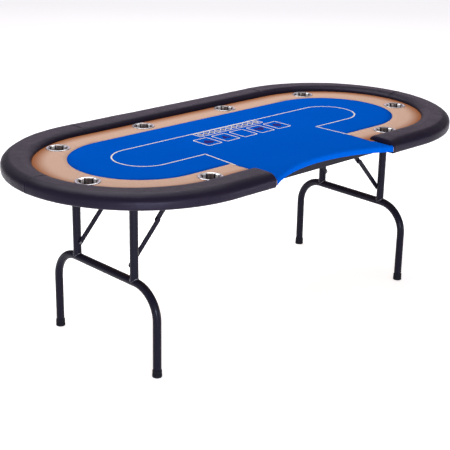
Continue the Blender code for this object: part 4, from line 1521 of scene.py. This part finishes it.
CAMERA_AT = Vector((-3.2034, -3.2287, 1.9973))
CAMERA_YAW = math.radians(43.9278)
CAMERA_PITCH = math.radians(19.9298)
CAMERA_ROLL = math.radians(1.0474)
CAMERA_LENS = 91.270
CAMERA_SHIFT = (0.00282, 0.00025)
FLOOR_GLOW = 0.62  # a lit paper sweep, evenly bright to its far edge
FLOOR_HALF = 30.0
WORLD_COLOUR = (0.98, 0.91, 1.0, 1.0)
WORLD_STRENGTH = 0.3
COOL_WHITE = (0.84, 0.84, 1.0)
WHITE = (1.0, 1.0, 1.0)
SOFTBOXES = (  # name, place, target, size, watts, colour
    ("top_softbox", (0.3, 1.5, 4.2), (0, 0, 0.7), (3.4, 3.2), 148, WHITE),
    ("front_softbox", (-0.8, -5.0, 1.7), (0, 0, 0.6), (3.4, 1.6), 40, WHITE),
    ("low_left_softbox", (-2.3, -2.8, 0.66), (-0.9, -0.4, 0.74), (0.9, 0.3), 74, (0.82, 0.94, 1.0)),
    ("low_right_softbox", (1.7, -2.7, 0.3), (-0.3, -0.5, 0.74), (0.8, 0.4), 14, COOL_WHITE),
    ("left_softbox", (-4.6, 1.2, 2.6), (0, 0, 0.6), (2.4, 2.4), 26, (0.82, 0.84, 1.0)),
    ("back_softbox", (4.85, 5.04, 2.76), (0, 0, 0.75), (6.0, 2.2), 27, (1.0, 0.80, 1.0)),
)


def make_stage():
    build = bmesh.new()
    for x, y in ((-1, -1), (1, -1), (1, 1), (-1, 1)):
        build.verts.new((x * FLOOR_HALF, y * FLOOR_HALF, 0.0))
    build.faces.new(build.verts)
    mesh = bpy.data.meshes.new("studio_floor")
    build.to_mesh(mesh)
    build.free()
    floor_finish = Finish("pale_floor", 0.7, Specular_IOR_Level=0.1)
    floor_finish.colour(floor_finish.mix(floor_finish.noise(0.6, 2), rgb(249, 249, 250), rgb(246, 246, 248)))
    floor_finish.shader.inputs["Emission Color"].default_value = (1.0, 1.0, 1.0, 1.0)
    floor_finish.shader.inputs["Emission Strength"].default_value = FLOOR_GLOW
    mesh.materials.append(floor_finish.material)
    floor = bpy.data.objects.new("studio_floor", mesh)
    bpy.context.scene.collection.objects.link(floor)


def make_camera():
    yaw, pitch = CAMERA_YAW, CAMERA_PITCH
    ahead = Vector((math.sin(yaw) * math.cos(pitch), math.cos(yaw) * math.cos(pitch), -math.sin(pitch)))
    level_right = Vector((math.cos(yaw), -math.sin(yaw), 0.0))
    level_up = level_right.cross(ahead)
    right = math.cos(CAMERA_ROLL) * level_right + math.sin(CAMERA_ROLL) * level_up
    up = -math.sin(CAMERA_ROLL) * level_right + math.cos(CAMERA_ROLL) * level_up
    data = bpy.data.cameras.new("camera")
    data.lens = CAMERA_LENS
    data.sensor_width = 36.0
    data.shift_x, data.shift_y = CAMERA_SHIFT
    data.clip_end = 200.0
    made = bpy.data.objects.new("camera", data)
    turned = Matrix((right, up, -ahead)).transposed().to_4x4()
    turned.translation = CAMERA_AT
    made.matrix_world = turned
    bpy.context.scene.collection.objects.link(made)
    bpy.context.scene.camera = made


def add_softbox(name, place, target, size, power, colour):
    data = bpy.data.lights.new(name, "AREA")
    data.shape = "RECTANGLE"
    data.size, data.size_y = size
    data.energy = power
    data.color = colour
    made = bpy.data.objects.new(name, data)
    made.location = place
    made.rotation_mode = "QUATERNION"
    made.rotation_quaternion = (Vector(target) - Vector(place)).to_track_quat("-Z", "Y")
    bpy.context.scene.collection.objects.link(made)


def make_lights():
    world = bpy.data.worlds.new("studio")
    bpy.context.scene.world = world
    world.use_nodes = True
    background = world.node_tree.nodes["Background"]
    background.inputs["Color"].default_value = WORLD_COLOUR
    background.inputs["Strength"].default_value = WORLD_STRENGTH
    for softbox in SOFTBOXES:
        add_softbox(*softbox)
    bpy.context.scene.view_settings.view_transform = "Standard"


make_stage()
make_camera()
make_lights()
